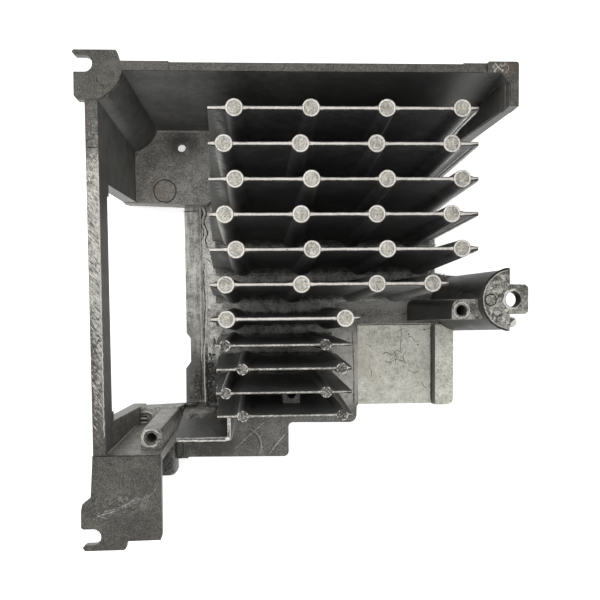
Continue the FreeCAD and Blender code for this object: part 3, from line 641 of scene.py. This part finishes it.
PIN_X = {1: (-23.6, 2.6, 28.75, 54.9), 2: (-27.3, -1.1, 25.1, 51.25), 3: (-23.6, 2.6, 28.75, 54.9),
         4: (-27.3, -1.1, 25.1, 51.25), 5: (-23.6, 2.6, 28.75, 54.9), 6: (-27.3, -1.15, 25.1, 44.55), 7: (-27.2, 13.95),
         8: (-27.85, 7.05), 9: (-21.95, 12.7), 10: (-27.75, 7.15), 11: (-22.05, 12.7)}
FIN_END = {n: (-32.65 if n <= 7 else -30.9, 60.65 if n <= 5 else {6: 50.15, 7: 19.05}.get(n, 16.05)) for n in PIN_X}

# Fin tips: rounded along their length, bright on the crest and dark on the shoulders; the dark of the shoulders is
# painted shade.
tips = Piece("fin_tip_crests")
for n, y in enumerate(ROW_Y, start=1):
    big = n <= 7
    rad, reach, top, thin, flat_half = (3.03, 4.9, 1.62, 0.60, 0.66) if big else (2.0, 3.5, 1.15, 0.45, 0.50)
    x0, x1 = FIN_END[n]
    stops = [x0] + [v for px in PIN_X[n] for v in (px - rad + 0.25, px + rad - 0.25)] + [x1]
    for a, b in zip(stops[::2], stops[1::2]):
        m = max(3, int((b - a) / 0.6))
        rings, core = [], []
        for i in range(m + 1):
            x = a + (b - a) * i / m
            half = flat_half
            for px in PIN_X[n]:
                d = abs(x - px)
                if d < reach:
                    half = max(half, thin + (top - thin) * (1 - d / reach))
            wide = half * (1.015 + 0.02 * wob(x * 0.9, y, 3))
            crest = 77.66 + 0.04 * wob(x * 0.7, y, 8)
            # the crest line wanders a little; at the right end it runs out to a point on the far side
            run = min(1.0, max(0.0, (x1 - x) / 3.2)) if x > x1 - 3.2 else 1.0
            mid = 0.10 * wob(x * 0.5, y, 5) + (1 - run) * 0.35
            k = (0.60 + 0.07 * wob(x * 1.1, y, 21)) * (0.35 + 0.65 * run)
            if half > flat_half * 1.3:
                k *= flat_half * 1.3 / half
            prof = [(-1.03, 77.20), (-1.0, 77.40), (-0.86, 77.50), (mid - k, crest - 0.07), (mid - k * 0.5, crest - 0.01),
                    (mid + k * 0.5, crest - 0.01), (mid + k, crest - 0.07), (0.86, 77.50), (1.0, 77.40), (1.03, 77.20)]
            rings.append([Vector((x, y + wide * t, z)) * MM for t, z in prof])
        crown = "tip" if big else "tip_low"
        # crest faces take the tip finish; the sides take 'shoulder', painted shade
        tips.loft(rings, lambda i, k, c=crown: c if 3 <= k <= 5 else "shoulder")
tips.done()

# Cast fillets where the fins stand on the floor, a little uneven along their length; their dark 'flank' and 'shade'
# colours are painted shade at the foot of the fins.
feet = Piece("fin_foot_fillets")
for n, y in enumerate(ROW_Y, start=1):
    x0, x1 = FIN_END[n]
    a, b = x0 - 2.6, min(x1 + 0.1, 60.0)
    root = 1.42 if n <= 7 else 1.18
    for sgn in (-1, 1):
        near = ROW_Y[n - 2] - y if sgn > 0 and n > 1 else (y - ROW_Y[n] if sgn < 0 and n < 11 else 6.0)
        wide = min(3.7, max(1.6, near * 0.30)) if n < 7 else max(1.5, near * 0.22)
        if n == 11 and sgn < 0:
            wide = 1.2
        m = int((b - a) / 1.4)
        rings = []
        for i in range(m + 1):
            x = a + (b - a) * i / m
            out = wide * (1 + 0.16 * wob(x * 0.35, y, sgn * 3.0))
            ends = min(1.0, (min(i, m - i) + 1.2) / 3.0)
            pts = [(root - 0.5, 9.5 * ends + 8.0 * (1 - ends)), (root + 0.12 * out, 8.95 * ends + 8.0 * (1 - ends) + 0.02),
                   (root + 0.35 * out, 8.42), (root + 0.62 * out, 8.14), (root + out, 7.97), (root - 0.5, 7.9)]
            rings.append([Vector((x, y + sgn * d, z)) * MM for d, z in pts])
        feet.loft(rings, lambda i, k: "flank" if k <= 1 or k >= 4 else ("shade" if k == 2 else "gap"))
feet.done()

# Pin ends: a rough face inside a bright raised ring, with a dark rounded edge; the dark of that edge is painted shade.
pins = Piece("pin_ends")
for n, xs in PIN_X.items():
    y = ROW_Y[n - 1]
    big = n <= 7
    rad = 3.03 if big else 2.0
    for px in xs:
        seg = 34 if big else 26
        sd = n * 3.7 + px
        rings = []
        for f, z in ((0.20, 77.925), (0.40, 77.925), (0.58, 77.925), (0.73, 77.925), (0.79, 77.905), (0.835, 77.965),
                     (0.93, 77.975), (0.985, 77.90), (1.012, 77.62), (1.02, 77.30)):
            ring = []
            for k in range(seg):
                a = 2 * math.pi * k / seg
                r = rad * f * (1 + (0.02 if big else 0.035) * wob(math.cos(a) * 2, math.sin(a) * 2, sd + (5 if f > 0.95 else 0)))
                dx, dy = r * math.cos(a), r * math.sin(a)
                lift = 0.035 * wob(dx * 1.6 + sd, dy * 1.6, 2.0) if f < 0.8 else (0.018 * wob(dx, dy, sd) if f < 0.95 else 0.0)
                ring.append(Vector((px + dx, y + dy, z + lift)) * MM)
            rings.append(ring)

        def look(i, k, big=big, sd=sd, seg=seg):
            if i <= 3:
                return "pin" if big else "pin_low"
            if i == 4:
                return "groove" if big else "grime"
            if i <= 7:
                a = 2 * math.pi * k / seg
                gap = wob(math.cos(a) * 2.2 + sd, math.sin(a) * 2.2, 31.0)
                if big:
                    return "bright" if gap > -0.42 else "tip"
                return "tip" if gap > 0.02 else "pin_low"
            # painted shade round the edge of the pin end
            return "shoulder"

        pins.turned(Vector((px, y, 77.93)) * MM, rings, look)
pins.done()

# Straight bright edges of the fin ends: painted highlights along the edges.
edges = Piece("fin_end_edges")
for n in range(1, 6):
    y = ROW_Y[n - 1]
    for sgn in (-1, 1):
        bead(edges, [(60.66, y + sgn * 0.55, 76.6), (60.75, y + sgn * 0.90, 45.0), (60.95, y + sgn * 1.33, 11.0)], 0.27, 0.16,
             "bright", seed=n + sgn, rough=0.6, step=1.2)
    bead(edges, [(60.68, y - 0.02, 76.0), (60.80, y + 0.04, 45.0), (60.96, y, 11.0)], 0.20, 0.03, "grime", seed=n + 0.3, rough=0.8,
         step=1.2)
for n in range(1, 6):
    # the same tear marks seen on the flank, between the last pin and the sheared end
    y = ROW_Y[n - 1]
    narrow = n % 2 == 1

    def side(x, drift, half, high, fin, sd, top=76.4, y=y, n=n):
        bead(edges, [(x + drift * (77.5 - z) / 69.5, y - 0.66 - 0.76 * (77.5 - z) / 69.5 - 0.05, z) for z in (top, 52.0, 30.0, 11.0)],
             half, high, fin, seed=n * 2.3 + sd, rough=0.7, step=1.2)

    side(60.25, 0.2, 0.42, 0.10, "nick", 1)
    side(59.3, 0.2, 0.30, 0.04, "grime", 2)
    side(58.45, 0.3, 0.30, 0.07, "nick" if narrow else "tip", 3, 74.0)
    if not narrow:
        side(57.4, 0.5, 0.24, 0.04, "shoulder", 4, 70.0)
        side(56.0, 0.4, 0.22, 0.05, "tip_low", 5, 72.0)
        side(54.9, 0.2, 0.34, 0.07, "nick", 6, 74.0)
# painted highlights along the end edges of the lower fins
for n in range(8, 12):
    y = ROW_Y[n - 1]
    bead(edges, [(16.06, y - 0.46, 76.6), (16.3, y - 1.1, 11.0)], 0.12, 0.06, "tip_low", seed=n, rough=0.5, step=1.2)
edges.done()

# Step lines and seams: narrow dark lines. The joints left by the die are the metal's own; the dark lines along steps
# and edges are painted shade.
ARC = [(-60.7, 78.4, 77.9), (-61.25, 77.2, 77.9), (-61.7, 75.8, 77.9), (-62.5, 74.4, 77.9), (-63.6, 72.9, 77.9),
       (-64.9, 71.5, 77.9), (-66.4, 70.4, 77.9), (-67.5, 69.5, 77.9), (-68.95, 68.7, 77.9)]
seams_and_painted_light = Piece("die_joints_and_painted_light")
bead(seams_and_painted_light, [(-73.7, 52.95, 77.6), (-69.5, 53.15, 77.6)], 0.26, 0.03, "grime", flat=77.6, seed=1)
bead(seams_and_painted_light, [(-45.65, 81.1, 77.6), (-45.75, 78.7, 77.6)], 0.24, 0.42, "grime", flat=77.6, seed=2, rough=0.2)
bead(seams_and_painted_light, [(63.45, 81.9, 77.6), (63.45, 78.7, 77.6)], 0.34, 0.42, "grime", flat=77.6, seed=3, rough=0.2)
bead(seams_and_painted_light, [(-74.0, -52.05, 78), (-62, -52.1, 78), (-51.5, -52.2, 78)], 0.20, 0.03, "grime", flat=78.0, seed=4)
bead(seams_and_painted_light, circle(-56.05, 49.9, 13.5, 4.85), 0.20, 0.04, "grime", closed=True, flat=13.48, seed=5)
bead(seams_and_painted_light, circle(64.95, 0.5, 78, 2.05), 0.22, 0.03, "grime", closed=True, flat=78.0, seed=6)
# painted shadow: a dark band round the outside of the disc
bead(seams_and_painted_light, circle(72.85, 0.65, 77.7, 10.92, a0=94, a1=266), 0.34, 0.10, "grime", flat=77.66, seed=6.2, rough=0.2)
# painted highlight along the near edge of the disc
bead(seams_and_painted_light, circle(72.85, 0.65, 78, 10.35, a0=96, a1=264), 0.16, 0.03, "tip", flat=78.0, seed=6.3, rough=0.9)
bead(seams_and_painted_light, [(48.2, -8.9, 3), (48.35, -13.6, 3), (48.05, -18.2, 3), (48.3, -22.0, 3)], 0.13, 0.03, "shoulder", flat=3.0, seed=7)
bead(seams_and_painted_light, [(28.0, -8.75, 3), (38.8, -8.65, 3), (50.3, -8.75, 3), (61.8, -8.7, 3)], 0.22, 0.05, "grime", flat=3.0, seed=8)
for k, line in enumerate((
        [(38.8, -22.7), (41.5, -21.3), (43.8, -22.3), (46.6, -20.5), (48.9, -21.9)],
        [(40.1, -25.0), (43.3, -25.9), (46.1, -24.6), (49.8, -25.6)], [(31.5, -16.7), (33.3, -18.0), (35.6, -19.0)],
        [(50.3, -15.0), (53.0, -14.2), (54.9, -16.5), (57.2, -16.0)], [(51.6, -28.8), (53.9, -30.7), (56.7, -30.2)],
        [(57.2, -34.4), (59.0, -37.2), (60.4, -38.1)], [(44.9, -20.2), (46.0, -23.6), (45.3, -27.4)],
        [(50.4, -20.4), (49.2, -24.0), (51.0, -27.0)], [(33.0, -27.0), (34.6, -30.4), (33.9, -33.0)])):
    bead(seams_and_painted_light, [(x, y, 3) for x, y in line], 0.15, 0.03, "shoulder", flat=3.0, seed=20 + k, rough=0.8)
bead(seams_and_painted_light, [(-40.5, 0.3, 8), (-39.1, -0.6, 8), (-37.4, -2.6, 8)], 0.24, 0.05, "grime", flat=8.0, seed=9)
bead(seams_and_painted_light, [(-40.2, 21.6, 8), (-38.7, 21.0, 8), (-37.0, 19.4, 8)], 0.20, 0.05, "grime", flat=8.0, seed=10)
bead(seams_and_painted_light, [(-42.5, 44.0, 8), (-42.4, 30.0, 8), (-42.5, 10.0, 8), (-42.5, -15.0, 6), (-42.5, -42.0, 6)], 0.24, 0.08, "grime", seed=11)
bead(seams_and_painted_light, [(-49.3, 42.2, 6), (-45.2, 42.3, 6), (-42.5, 42.6, 6)], 0.26, 0.06, "grime", flat=6.0, seed=11.5)
bead(seams_and_painted_light, [(27.55, -9.2, 3), (27.6, -24.0, 3), (27.6, -43.5, 3)], 0.26, 0.06, "grime", flat=3.0, seed=11.7)
bead(seams_and_painted_light, [(62.0, -9.2, 3), (62.0, -24.0, 3), (62.0, -43.5, 3)], 0.30, 0.06, "grime", flat=3.0, seed=11.8)
bead(seams_and_painted_light, [(-69.1, -54.4, 78), (-67.4, -54.9, 78), (-65.7, -55.8, 78)], 0.16, 0.03, "grime", flat=78.0, seed=12)
bead(seams_and_painted_light, [(-51.7, -53.1, 78), (-50.7, -54.6, 78), (-51.3, -56.2, 78)], 0.18, 0.03, "grime", flat=78.0, seed=13)
bead(seams_and_painted_light, [(71.0, 75.6, 78), (71.45, 74.4, 78), (71.5, 67.9, 78)], 0.20, 0.03, "grime", flat=78.0, seed=14)
for k, line in enumerate(([(29.2, -3.0), (30.8, -5.7)], [(31.0, -3.0), (29.2, -5.3)])):
    bead(seams_and_painted_light, [(x, y, 8) for x, y in line], 0.16, 0.05, "grime", flat=8.0, seed=15 + k)
bead(seams_and_painted_light, [(-62.4, 78.65, 77.5), (-30, 78.6, 77.5), (0, 78.55, 77.5), (30, 78.5, 77.5), (62.6, 78.5, 77.5)], 0.20, 0.05, "grime",
     seed=17, rough=0.6)
bead(seams_and_painted_light, [(-69.35, 68.0, 77.3), (-69.35, 60.0, 77.3), (-69.35, 53.2, 77.3)], 0.20, 0.05, "grime", seed=18, rough=0.6)
bead(seams_and_painted_light, ARC, 0.26, 0.05, "grime", seed=19, rough=0.5)
seams_and_painted_light.done()

# Scratches: narrow bright furrow lips.
lines = Piece("scratches")
for k, (line, flat, half, fin) in enumerate((
        ([(-62.6, -70.4), (-58.9, -68.3), (-54.3, -66.0), (-52.2, -63.8)], 78.0, 0.14, "pad"),
        ([(-73.4, -73.7), (-70.7, -72.3), (-66.1, -71.3)], 78.0, 0.13, "shelf"),
        ([(-71.0, -71.6), (-66.5, -70.5), (-62.5, -68.9), (-59.8, -66.9)], 78.0, 0.10, "shelf"),
        ([(-72.1, -76.1), (-67.4, -74.5), (-63.9, -71.9)], 78.0, 0.11, "pad"),
        ([(-73.6, -71.9), (-71.9, -73.0), (-69.6, -73.7)], 78.0, 0.14, "tip_low"),
        ([(65.9, 82.0), (67.3, 80.4), (69.1, 78.8)], 78.0, 0.14, "bright"),
        ([(68.7, 82.0), (67.1, 80.3), (65.9, 78.9)], 78.0, 0.13, "bright"),
        ([(69.8, 81.6), (71.0, 80.4), (70.6, 79.2)], 78.0, 0.11, "tip"),
        ([(71.9, 82.0), (70.8, 81.0), (71.7, 79.5)], 78.0, 0.14, "shoulder"),
        ([(-66.5, -57.5), (-64.0, -60.5), (-63.8, -64.0), (-65.6, -67.0)], 78.0, 0.14, "shoulder"),
        ([(-62.0, -58.0), (-60.2, -61.0), (-60.6, -64.6)], 78.0, 0.10, "shoulder"),
        ([(-57.0, -66.9), (-54.0, -65.6), (-51.6, -62.2), (-50.9, -58.8)], 78.0, 0.12, "pad"),
        ([(-28.1, -63.7), (-21.9, -58.0), (-17.2, -54.0), (-14.3, -51.3)], 8.0, 0.20, "bright"),
        ([(-27.0, -63.9), (-21.0, -58.6), (-16.4, -54.6)], 8.0, 0.10, "tip_low"),
        ([(-12.9, -66.5), (-9.2, -61.8), (-5.1, -56.7)], 8.0, 0.22, "bright"),
        ([(-11.1, -64.5), (-7.9, -60.5), (-6.1, -58.3)], 8.0, 0.10, "tip_low"),
        ([(-20.8, -54.8), (-17.9, -56.7), (-16.2, -59.9), (-16.0, -64.0), (-17.6, -66.2)], 8.0, 0.20, "tip"),
        ([(-21.4, -55.6), (-18.6, -57.4), (-17.0, -60.2), (-16.8, -63.6)], 8.0, 0.16, "grime"),
        ([(-24.0, -57.0), (-20.4, -60.2), (-15.2, -62.0)], 8.0, 0.12, "tip_low"),
        ([(-25.3, -61.1), (-22.2, -59.8), (-19.1, -58.9)], 8.0, 0.13, "grime"),
        ([(-11.0, -58.2), (-7.8, -56.0), (-5.6, -53.7)], 8.0, 0.10, "tip_low"),
        ([(36.4, -38.7), (43.3, -36.9), (50.2, -38.4), (57.2, -36.2)], 3.0, 0.12, "bright"),
        ([(22.3, 1.0), (29.0, 1.9), (38.0, 0.9), (47.0, 1.5)], 8.0, 0.16, "end"),
        ([(31.2, -3.9), (38.0, -3.1), (44.8, -3.8), (48.4, -3.2)], 8.0, 0.16, "end"))):
    bead(lines, [(x, y, flat) for x, y in line], half, 0.05 if flat < 70 else 0.035, fin, flat=flat, seed=40 + k, rough=0.7)
for k in range(250):
    # short file strokes across the left rim, all at one slant
    y = dice.gauss(6.0, 22.0)
    x = dice.uniform(-72.9, -70.4)
    ln = min(dice.uniform(0.8, 3.4), (x + 73.9) / 0.38, (-69.6 - x) / 0.38)
    if not -44.0 < y < 46.0:
        continue
    bead(lines, [(x - 0.36 * ln, y + 0.46 * ln, 77.6), (x + 0.36 * ln, y - 0.46 * ln, 77.6)], dice.uniform(0.10, 0.20), 0.04,
         dice.choice(("nick", "nick", "nick", "shoulder", "groove")), flat=77.6, seed=80 + k, rough=0.6)
SCUFF = curve([(-73.4, -73.5, 78), (-69.0, -72.2, 78), (-64.0, -70.6, 78), (-59.6, -68.0, 78), (-55.0, -66.4, 78)], step=0.3)
for k in range(170):
    q = dice.choice(SCUFF)
    r = dice.uniform(0.08, 0.26)
    blob(lines, (q.x + dice.gauss(0, 0.7), q.y + dice.gauss(0, 0.75), 78.0), r * dice.uniform(1.0, 2.6), r * 0.7, 0.03,
         dice.choice(("pad", "tip_low", "pad", "shoulder")), turn=dice.gauss(0.45, 0.4), seed=k * 0.37, flat=78.0, n=8)
lines.done()

# Torn flash, seam bars and rough lumps; also painted highlights on the shelf-recess bars and the slab-end ring, and
# painted shadows beside the lumps on the disc.
flash_and_painted_light = Piece("flash_and_painted_light")
TORN = [(-40.6, 44.6, 9), (-39.7, 41.0, 8), (-40.6, 37.0, 8), (-39.2, 33.0, 8), (-40.0, 29.3, 8), (-39.0, 25.5, 8), (-37.4, 20.6, 8)]
bead(flash_and_painted_light, [(x + 0.70, y, z) for x, y, z in TORN[:6]], 0.26, 0.10, "grime", flat=8.0, seed=100, rough=0.9)
bead(flash_and_painted_light, TORN[:6], 0.46, 0.60, "bright", flat=8.0, seed=101, rough=0.8)
bead(flash_and_painted_light, [(x - 0.95, y, z) for x, y, z in TORN[:5]], 0.28, 0.10, "grime", flat=8.0, seed=102, rough=0.9)
bead(flash_and_painted_light, [(-42.0, 20.0, 9), (-41.9, 2.9, 9), (-42.0, -10.3, 9), (-42.1, -24.0, 9)], 0.34, 0.25, "bright", seed=103, rough=0.5)
bead(flash_and_painted_light, [(-39.3, 20.0, 8), (-39.6, 12.0, 8), (-39.2, 2.9, 8), (-39.7, -8.0, 8), (-40.2, -15.0, 8)], 0.30, 0.35, "bright",
     flat=8.0, seed=104, rough=0.8)
bead(flash_and_painted_light, [(-40.2, 20.0, 8), (-40.5, 12.0, 8), (-40.1, 2.9, 8), (-40.5, -8.0, 8), (-40.9, -15.0, 8)], 0.26, 0.08, "shoulder",
     flat=8.0, seed=104.5, rough=0.8)
bead(flash_and_painted_light, [(-40.7, -16.0, 8), (-40.8, -25.9, 8), (-40.8, -34.8, 8), (-40.6, -43.0, 8)], 0.62, 0.75, "bright", flat=8.0, seed=105,
     rough=0.35)
bead(flash_and_painted_light, [(-39.6, -16.0, 8), (-39.7, -25.9, 8), (-39.6, -34.8, 8), (-39.4, -42.0, 8)], 0.34, 0.12, "grime", flat=8.0, seed=106, rough=0.5)
EDGE = [(-38.0, 74.9, 13.5), (-49.0, 75.0, 13.5), (-59.2, 75.0, 13.5), (-60.8, 73.0, 13.5), (-62.3, 70.3, 13.5), (-64.7, 67.6, 13.5),
        (-67.3, 65.0, 13.5), (-68.1, 62.0, 13.5), (-68.35, 54.4, 13.5), (-68.35, 46.4, 13.5)]
bead(flash_and_painted_light, EDGE, 0.20, 0.10, "tip", flat=13.5, seed=107.2, rough=0.8)
bead(flash_and_painted_light, [(-69.4, -51.9, 75), (-69.2, -51.5, 62.6), (-68.9, -50.8, 45.3), (-68.5, -49.8, 23.4)], 0.42, 0.12, "tip", seed=107.4,
     rough=0.6)
bead(flash_and_painted_light, [(-59.6, -45.4, 62), (-59.4, -45.4, 40), (-59.5, -45.3, 20)], 0.26, 0.06, "tip_low", seed=107.6, rough=0.7)
bead(flash_and_painted_light, [(-51.3, -45.4, 62), (-51.5, -45.4, 40), (-51.5, -45.3, 20)], 0.22, 0.06, "tip_low", seed=107.7, rough=0.7)
bead(flash_and_painted_light, [(26.6, -11.0, 8), (26.7, -22.2, 8), (26.8, -33.5, 8), (26.7, -44.2, 8)], 0.20, 0.10, "tip", flat=8.0, seed=107.8, rough=0.7)
bead(flash_and_painted_light, [(25.2, -11.0, 8), (25.6, -22.2, 8), (25.8, -33.5, 8), (25.7, -44.2, 8)], 0.20, 0.06, "grime", flat=8.0, seed=107.9, rough=0.9)
bead(flash_and_painted_light, [(-37.5, -13.5, 8), (-36.7, -15.3, 8), (-37.4, -17.5, 8), (-35.9, -19.7, 8)], 0.42, 0.5, "tip_low", flat=8.0, seed=107, rough=0.8)
bead(flash_and_painted_light, [(-36.7, -13.2, 8), (-35.9, -15.6, 8), (-36.4, -18.2, 8)], 0.30, 0.3, "grime", flat=8.0, seed=108, rough=0.8)
# painted highlights: the bars in the shelf recess made near white
bead(flash_and_painted_light, [(-68.4, -45.9, 13.5), (-67.1, -45.4, 13.5), (-65.0, -45.5, 13.5), (-63.4, -46.5, 13.5), (-63.2, -48.6, 13.5)], 0.52, 0.45,
     "nick", flat=13.5, seed=109)
for k, y in enumerate((-48.2, -50.0)):
    bead(flash_and_painted_light, [(-69.0, y, 14.5), (-67.0, y + 0.05, 14.5), (-65.2, y, 14.5)], 0.50, 0.45, "nick", flat=14.2, seed=109.3 + k, rough=0.3)
    bead(flash_and_painted_light, [(-69.0, y + 0.75, 14.3), (-67.0, y + 0.75, 14.3), (-65.2, y + 0.75, 14.3)], 0.24, 0.10, "grime", flat=14.2, seed=109.6 + k,
         rough=0.3)
bead(flash_and_painted_light, [(-45.2, -47.35, 77.4), (-36.0, -47.4, 77.4), (-26.9, -47.45, 77.4)], 0.30, 0.14, "bright", flat=77.4, seed=109.7, rough=0.6)
bead(flash_and_painted_light, [(-45.2, -46.5, 77.4), (-36.0, -46.5, 77.4), (-28.2, -46.4, 77.4)], 0.20, 0.06, "tip_low", flat=77.4, seed=109.8, rough=0.9)
bead(flash_and_painted_light, [(-26.5, -47.3, 77.4), (-26.5, -44.0, 77.4), (-26.5, -40.2, 77.4)], 0.26, 0.12, "bright", flat=77.4, seed=109.9, rough=0.6)
blob(flash_and_painted_light, (-27.3, -46.9, 77.4), 1.0, 0.7, 0.14, "bright", seed=9.4, flat=77.4, rough=0.5)
bead(flash_and_painted_light, [(-69.72, 51.0, 77.6), (-69.75, 20.0, 77.6), (-69.75, -12.0, 77.6), (-69.75, -46.0, 77.6)], 0.20, 0.08, "tip", flat=77.6,
     seed=115.0, rough=0.9)
bead(flash_and_painted_light, circle(-66.7, 76.2, 78, 3.1), 0.42, 0.02, "rim", closed=True, flat=77.985, seed=116.0, rough=0.5)
bead(flash_and_painted_light, [(-69.2, -43.9, 13.5), (-60.0, -43.3, 13.5), (-50.6, -42.9, 13.5)], 0.16, 0.06, "tip", flat=13.5, seed=110)
# painted highlights: bright arcs on the ring at the slab end
bead(flash_and_painted_light, circle(-55.5, -48.0, 66.5, 3.05, a0=35, a1=325), 0.36, 0.22, "bright", flat=66.5, seed=111, rough=0.8)
bead(flash_and_painted_light, circle(-55.5, -48.0, 66.5, 3.65, a0=120, a1=250), 0.20, 0.10, "tip", flat=66.5, seed=112, rough=0.8)
bead(flash_and_painted_light, circle(-55.5, -48.0, 66.5, 2.62, a0=20, a1=340), 0.14, 0.05, "grime", flat=66.5, seed=112.5, rough=0.6)
bead(flash_and_painted_light, [(-58.8, -45.8, 66.5), (-57.4, -45.2, 66.5), (-55.6, -45.1, 66.5)], 0.26, 0.10, "bright", flat=66.5, seed=112.7, rough=0.8)
bead(flash_and_painted_light, [(-58.6, -51.0, 66.5), (-56.0, -51.3, 66.5), (-53.2, -51.1, 66.5)], 0.16, 0.08, "tip_low", flat=66.5, seed=112.8, rough=0.8)
bead(flash_and_painted_light, circle(56.4, -3.0, 72.0, 2.75), 0.26, 0.10, "tip", closed=True, flat=72.0, seed=113, rough=0.5)
bead(flash_and_painted_light, circle(72.95, 0.65, 78, 3.30, a0=60, a1=300), 0.38, 0.05, "bright", flat=78.0, seed=114, rough=0.6)
for k, (x, y, rx, ry) in enumerate(((61.6, 13.8, 1.9, 0.9), (64.6, 13.6, 1.4, 0.8), (59.8, 14.6, 1.2, 0.7), (66.9, 12.9, 1.0, 0.7),
                                    (62.0, 27.2, 1.2, 0.7), (61.6, 16.2, 1.2, 0.8), (62.8, 42.0, 1.0, 0.6), (66.0, 43.0, 1.4, 0.6))):
    blob(flash_and_painted_light, (x, y, 8.0), rx, ry, 0.55, "bright" if k % 3 else "tip_low", turn=k * 0.7, seed=k + 1.5, rough=0.55)
for k, (x, y, r) in enumerate(((67.0, 6.6, 1.6), (68.6, 3.6, 1.3), (69.4, 8.4, 1.5), (67.6, -4.2, 1.7), (69.6, -6.4, 1.4),
                               (66.2, 3.6, 1.1), (70.6, -3.2, 1.1), (65.2, -3.6, 1.0), (71.0, -7.4, 1.0), (65.0, 4.6, 0.8),
                               (71.2, 6.0, 0.9), (67.2, -1.6, 0.7), (66.4, -6.2, 0.8), (68.3, 0.6, 0.5), (66.0, 1.9, 0.5))):
    blob(flash_and_painted_light, (x, y, 78.0), r * 0.8, r * 0.55, 0.07, "end" if k % 2 else "tip_low", turn=k * 1.1, seed=k + 30.0, flat=78.0, rough=0.8, n=16)
    # painted shadow: a dark copy of each lump, shifted down and to the right
    blob(flash_and_painted_light, (x + 0.5, y - 0.6, 78.0), r * 0.6, r * 0.28, 0.03, "shoulder", turn=k * 1.1 + 0.4, seed=k + 50.0, flat=78.0, rough=0.8, n=16)

for k, (x, z, rx, rz) in enumerate(((-42.4, 21.0, 3.6, 13.0), (-38.3, 24.0, 3.2, 14.0), (-44.9, 32.0, 1.8, 9.0), (-36.0, 17.0, 1.6, 7.0))):
    # eroded skin in the deep part of the pocket
    blob(flash_and_painted_light, (x, -44.3 - (z - 20) * 0.033, z), rx, rz, 0.35, "pocket", seed=k * 0.83, rough=0.45, n=24)
for k in range(30):
    # small bright nicks along the foot of the fins at the right end
    x, y = dice.uniform(17.5, 26.4), dice.uniform(-43.5, -9.5)
    r = dice.uniform(0.12, 0.34)
    blob(flash_and_painted_light, (x, y, 8.0), r * 1.6, r, 0.05, "tip" if k % 2 else "shoulder", turn=dice.uniform(0, 3.1), seed=k * 0.51, n=9)
flash_and_painted_light.done()

# Dark grime and pores.
dirt = Piece("grime_spots")
for k in range(230):
    x, y = dice.gauss(-39.2, 2.2), dice.uniform(-43.0, -20.0)
    if not -45.5 < x < -34.0 or dice.random() > (-14.0 - y) / 22.0 + 0.15:
        continue
    r = dice.uniform(0.15, 0.62)
    blob(dirt, (x, y, 8.0), r * dice.uniform(0.8, 1.8), r, 0.05 + r * 0.15, "grime", turn=dice.uniform(0, 3.1), seed=k * 0.7, n=9)
for k in range(110):
    x, y = dice.uniform(-46.5, -41.2), dice.uniform(-42.5, -18.0)
    if dice.random() > (x + 47.0) / 5.0 or dice.random() > (-10.0 - y) / 24.0:
        continue
    r = dice.uniform(0.12, 0.45)
    blob(dirt, (x, y, 8.0), r * dice.uniform(0.8, 1.8), r, 0.05 + r * 0.1, "grime", turn=dice.uniform(0, 3.1), seed=k * 0.6, n=9)
for k in range(40):
    x, y = dice.uniform(-49.0, -30.0), dice.uniform(-47.5, -40.0)
    r = dice.uniform(0.2, 0.6)
    blob(dirt, (x, y, 8.0), r * 1.4, r, 0.06, "grime" if k % 4 else "pad", turn=dice.uniform(0, 3.1), seed=k * 0.9, n=9)
for x, y, r in ((51.7, -13.1, 0.42), (56.0, -18.0, 0.40), (58.9, -11.1, 0.45), (43.0, -30.0, 0.25), (36.0, -12.0, 0.28)):
    blob(dirt, (x, y, 3.0), r, r, 0.04, "grime", seed=x, flat=3.0, n=10)
for k in range(26):
    x, y = dice.uniform(29.0, 61.0), dice.uniform(-43.0, -10.0)
    r = dice.uniform(0.08, 0.2)
    blob(dirt, (x, y, 3.0), r * 1.5, r, 0.03, "shoulder", turn=dice.uniform(0, 3.1), seed=k * 1.3, flat=3.0, n=8)
dirt.done()
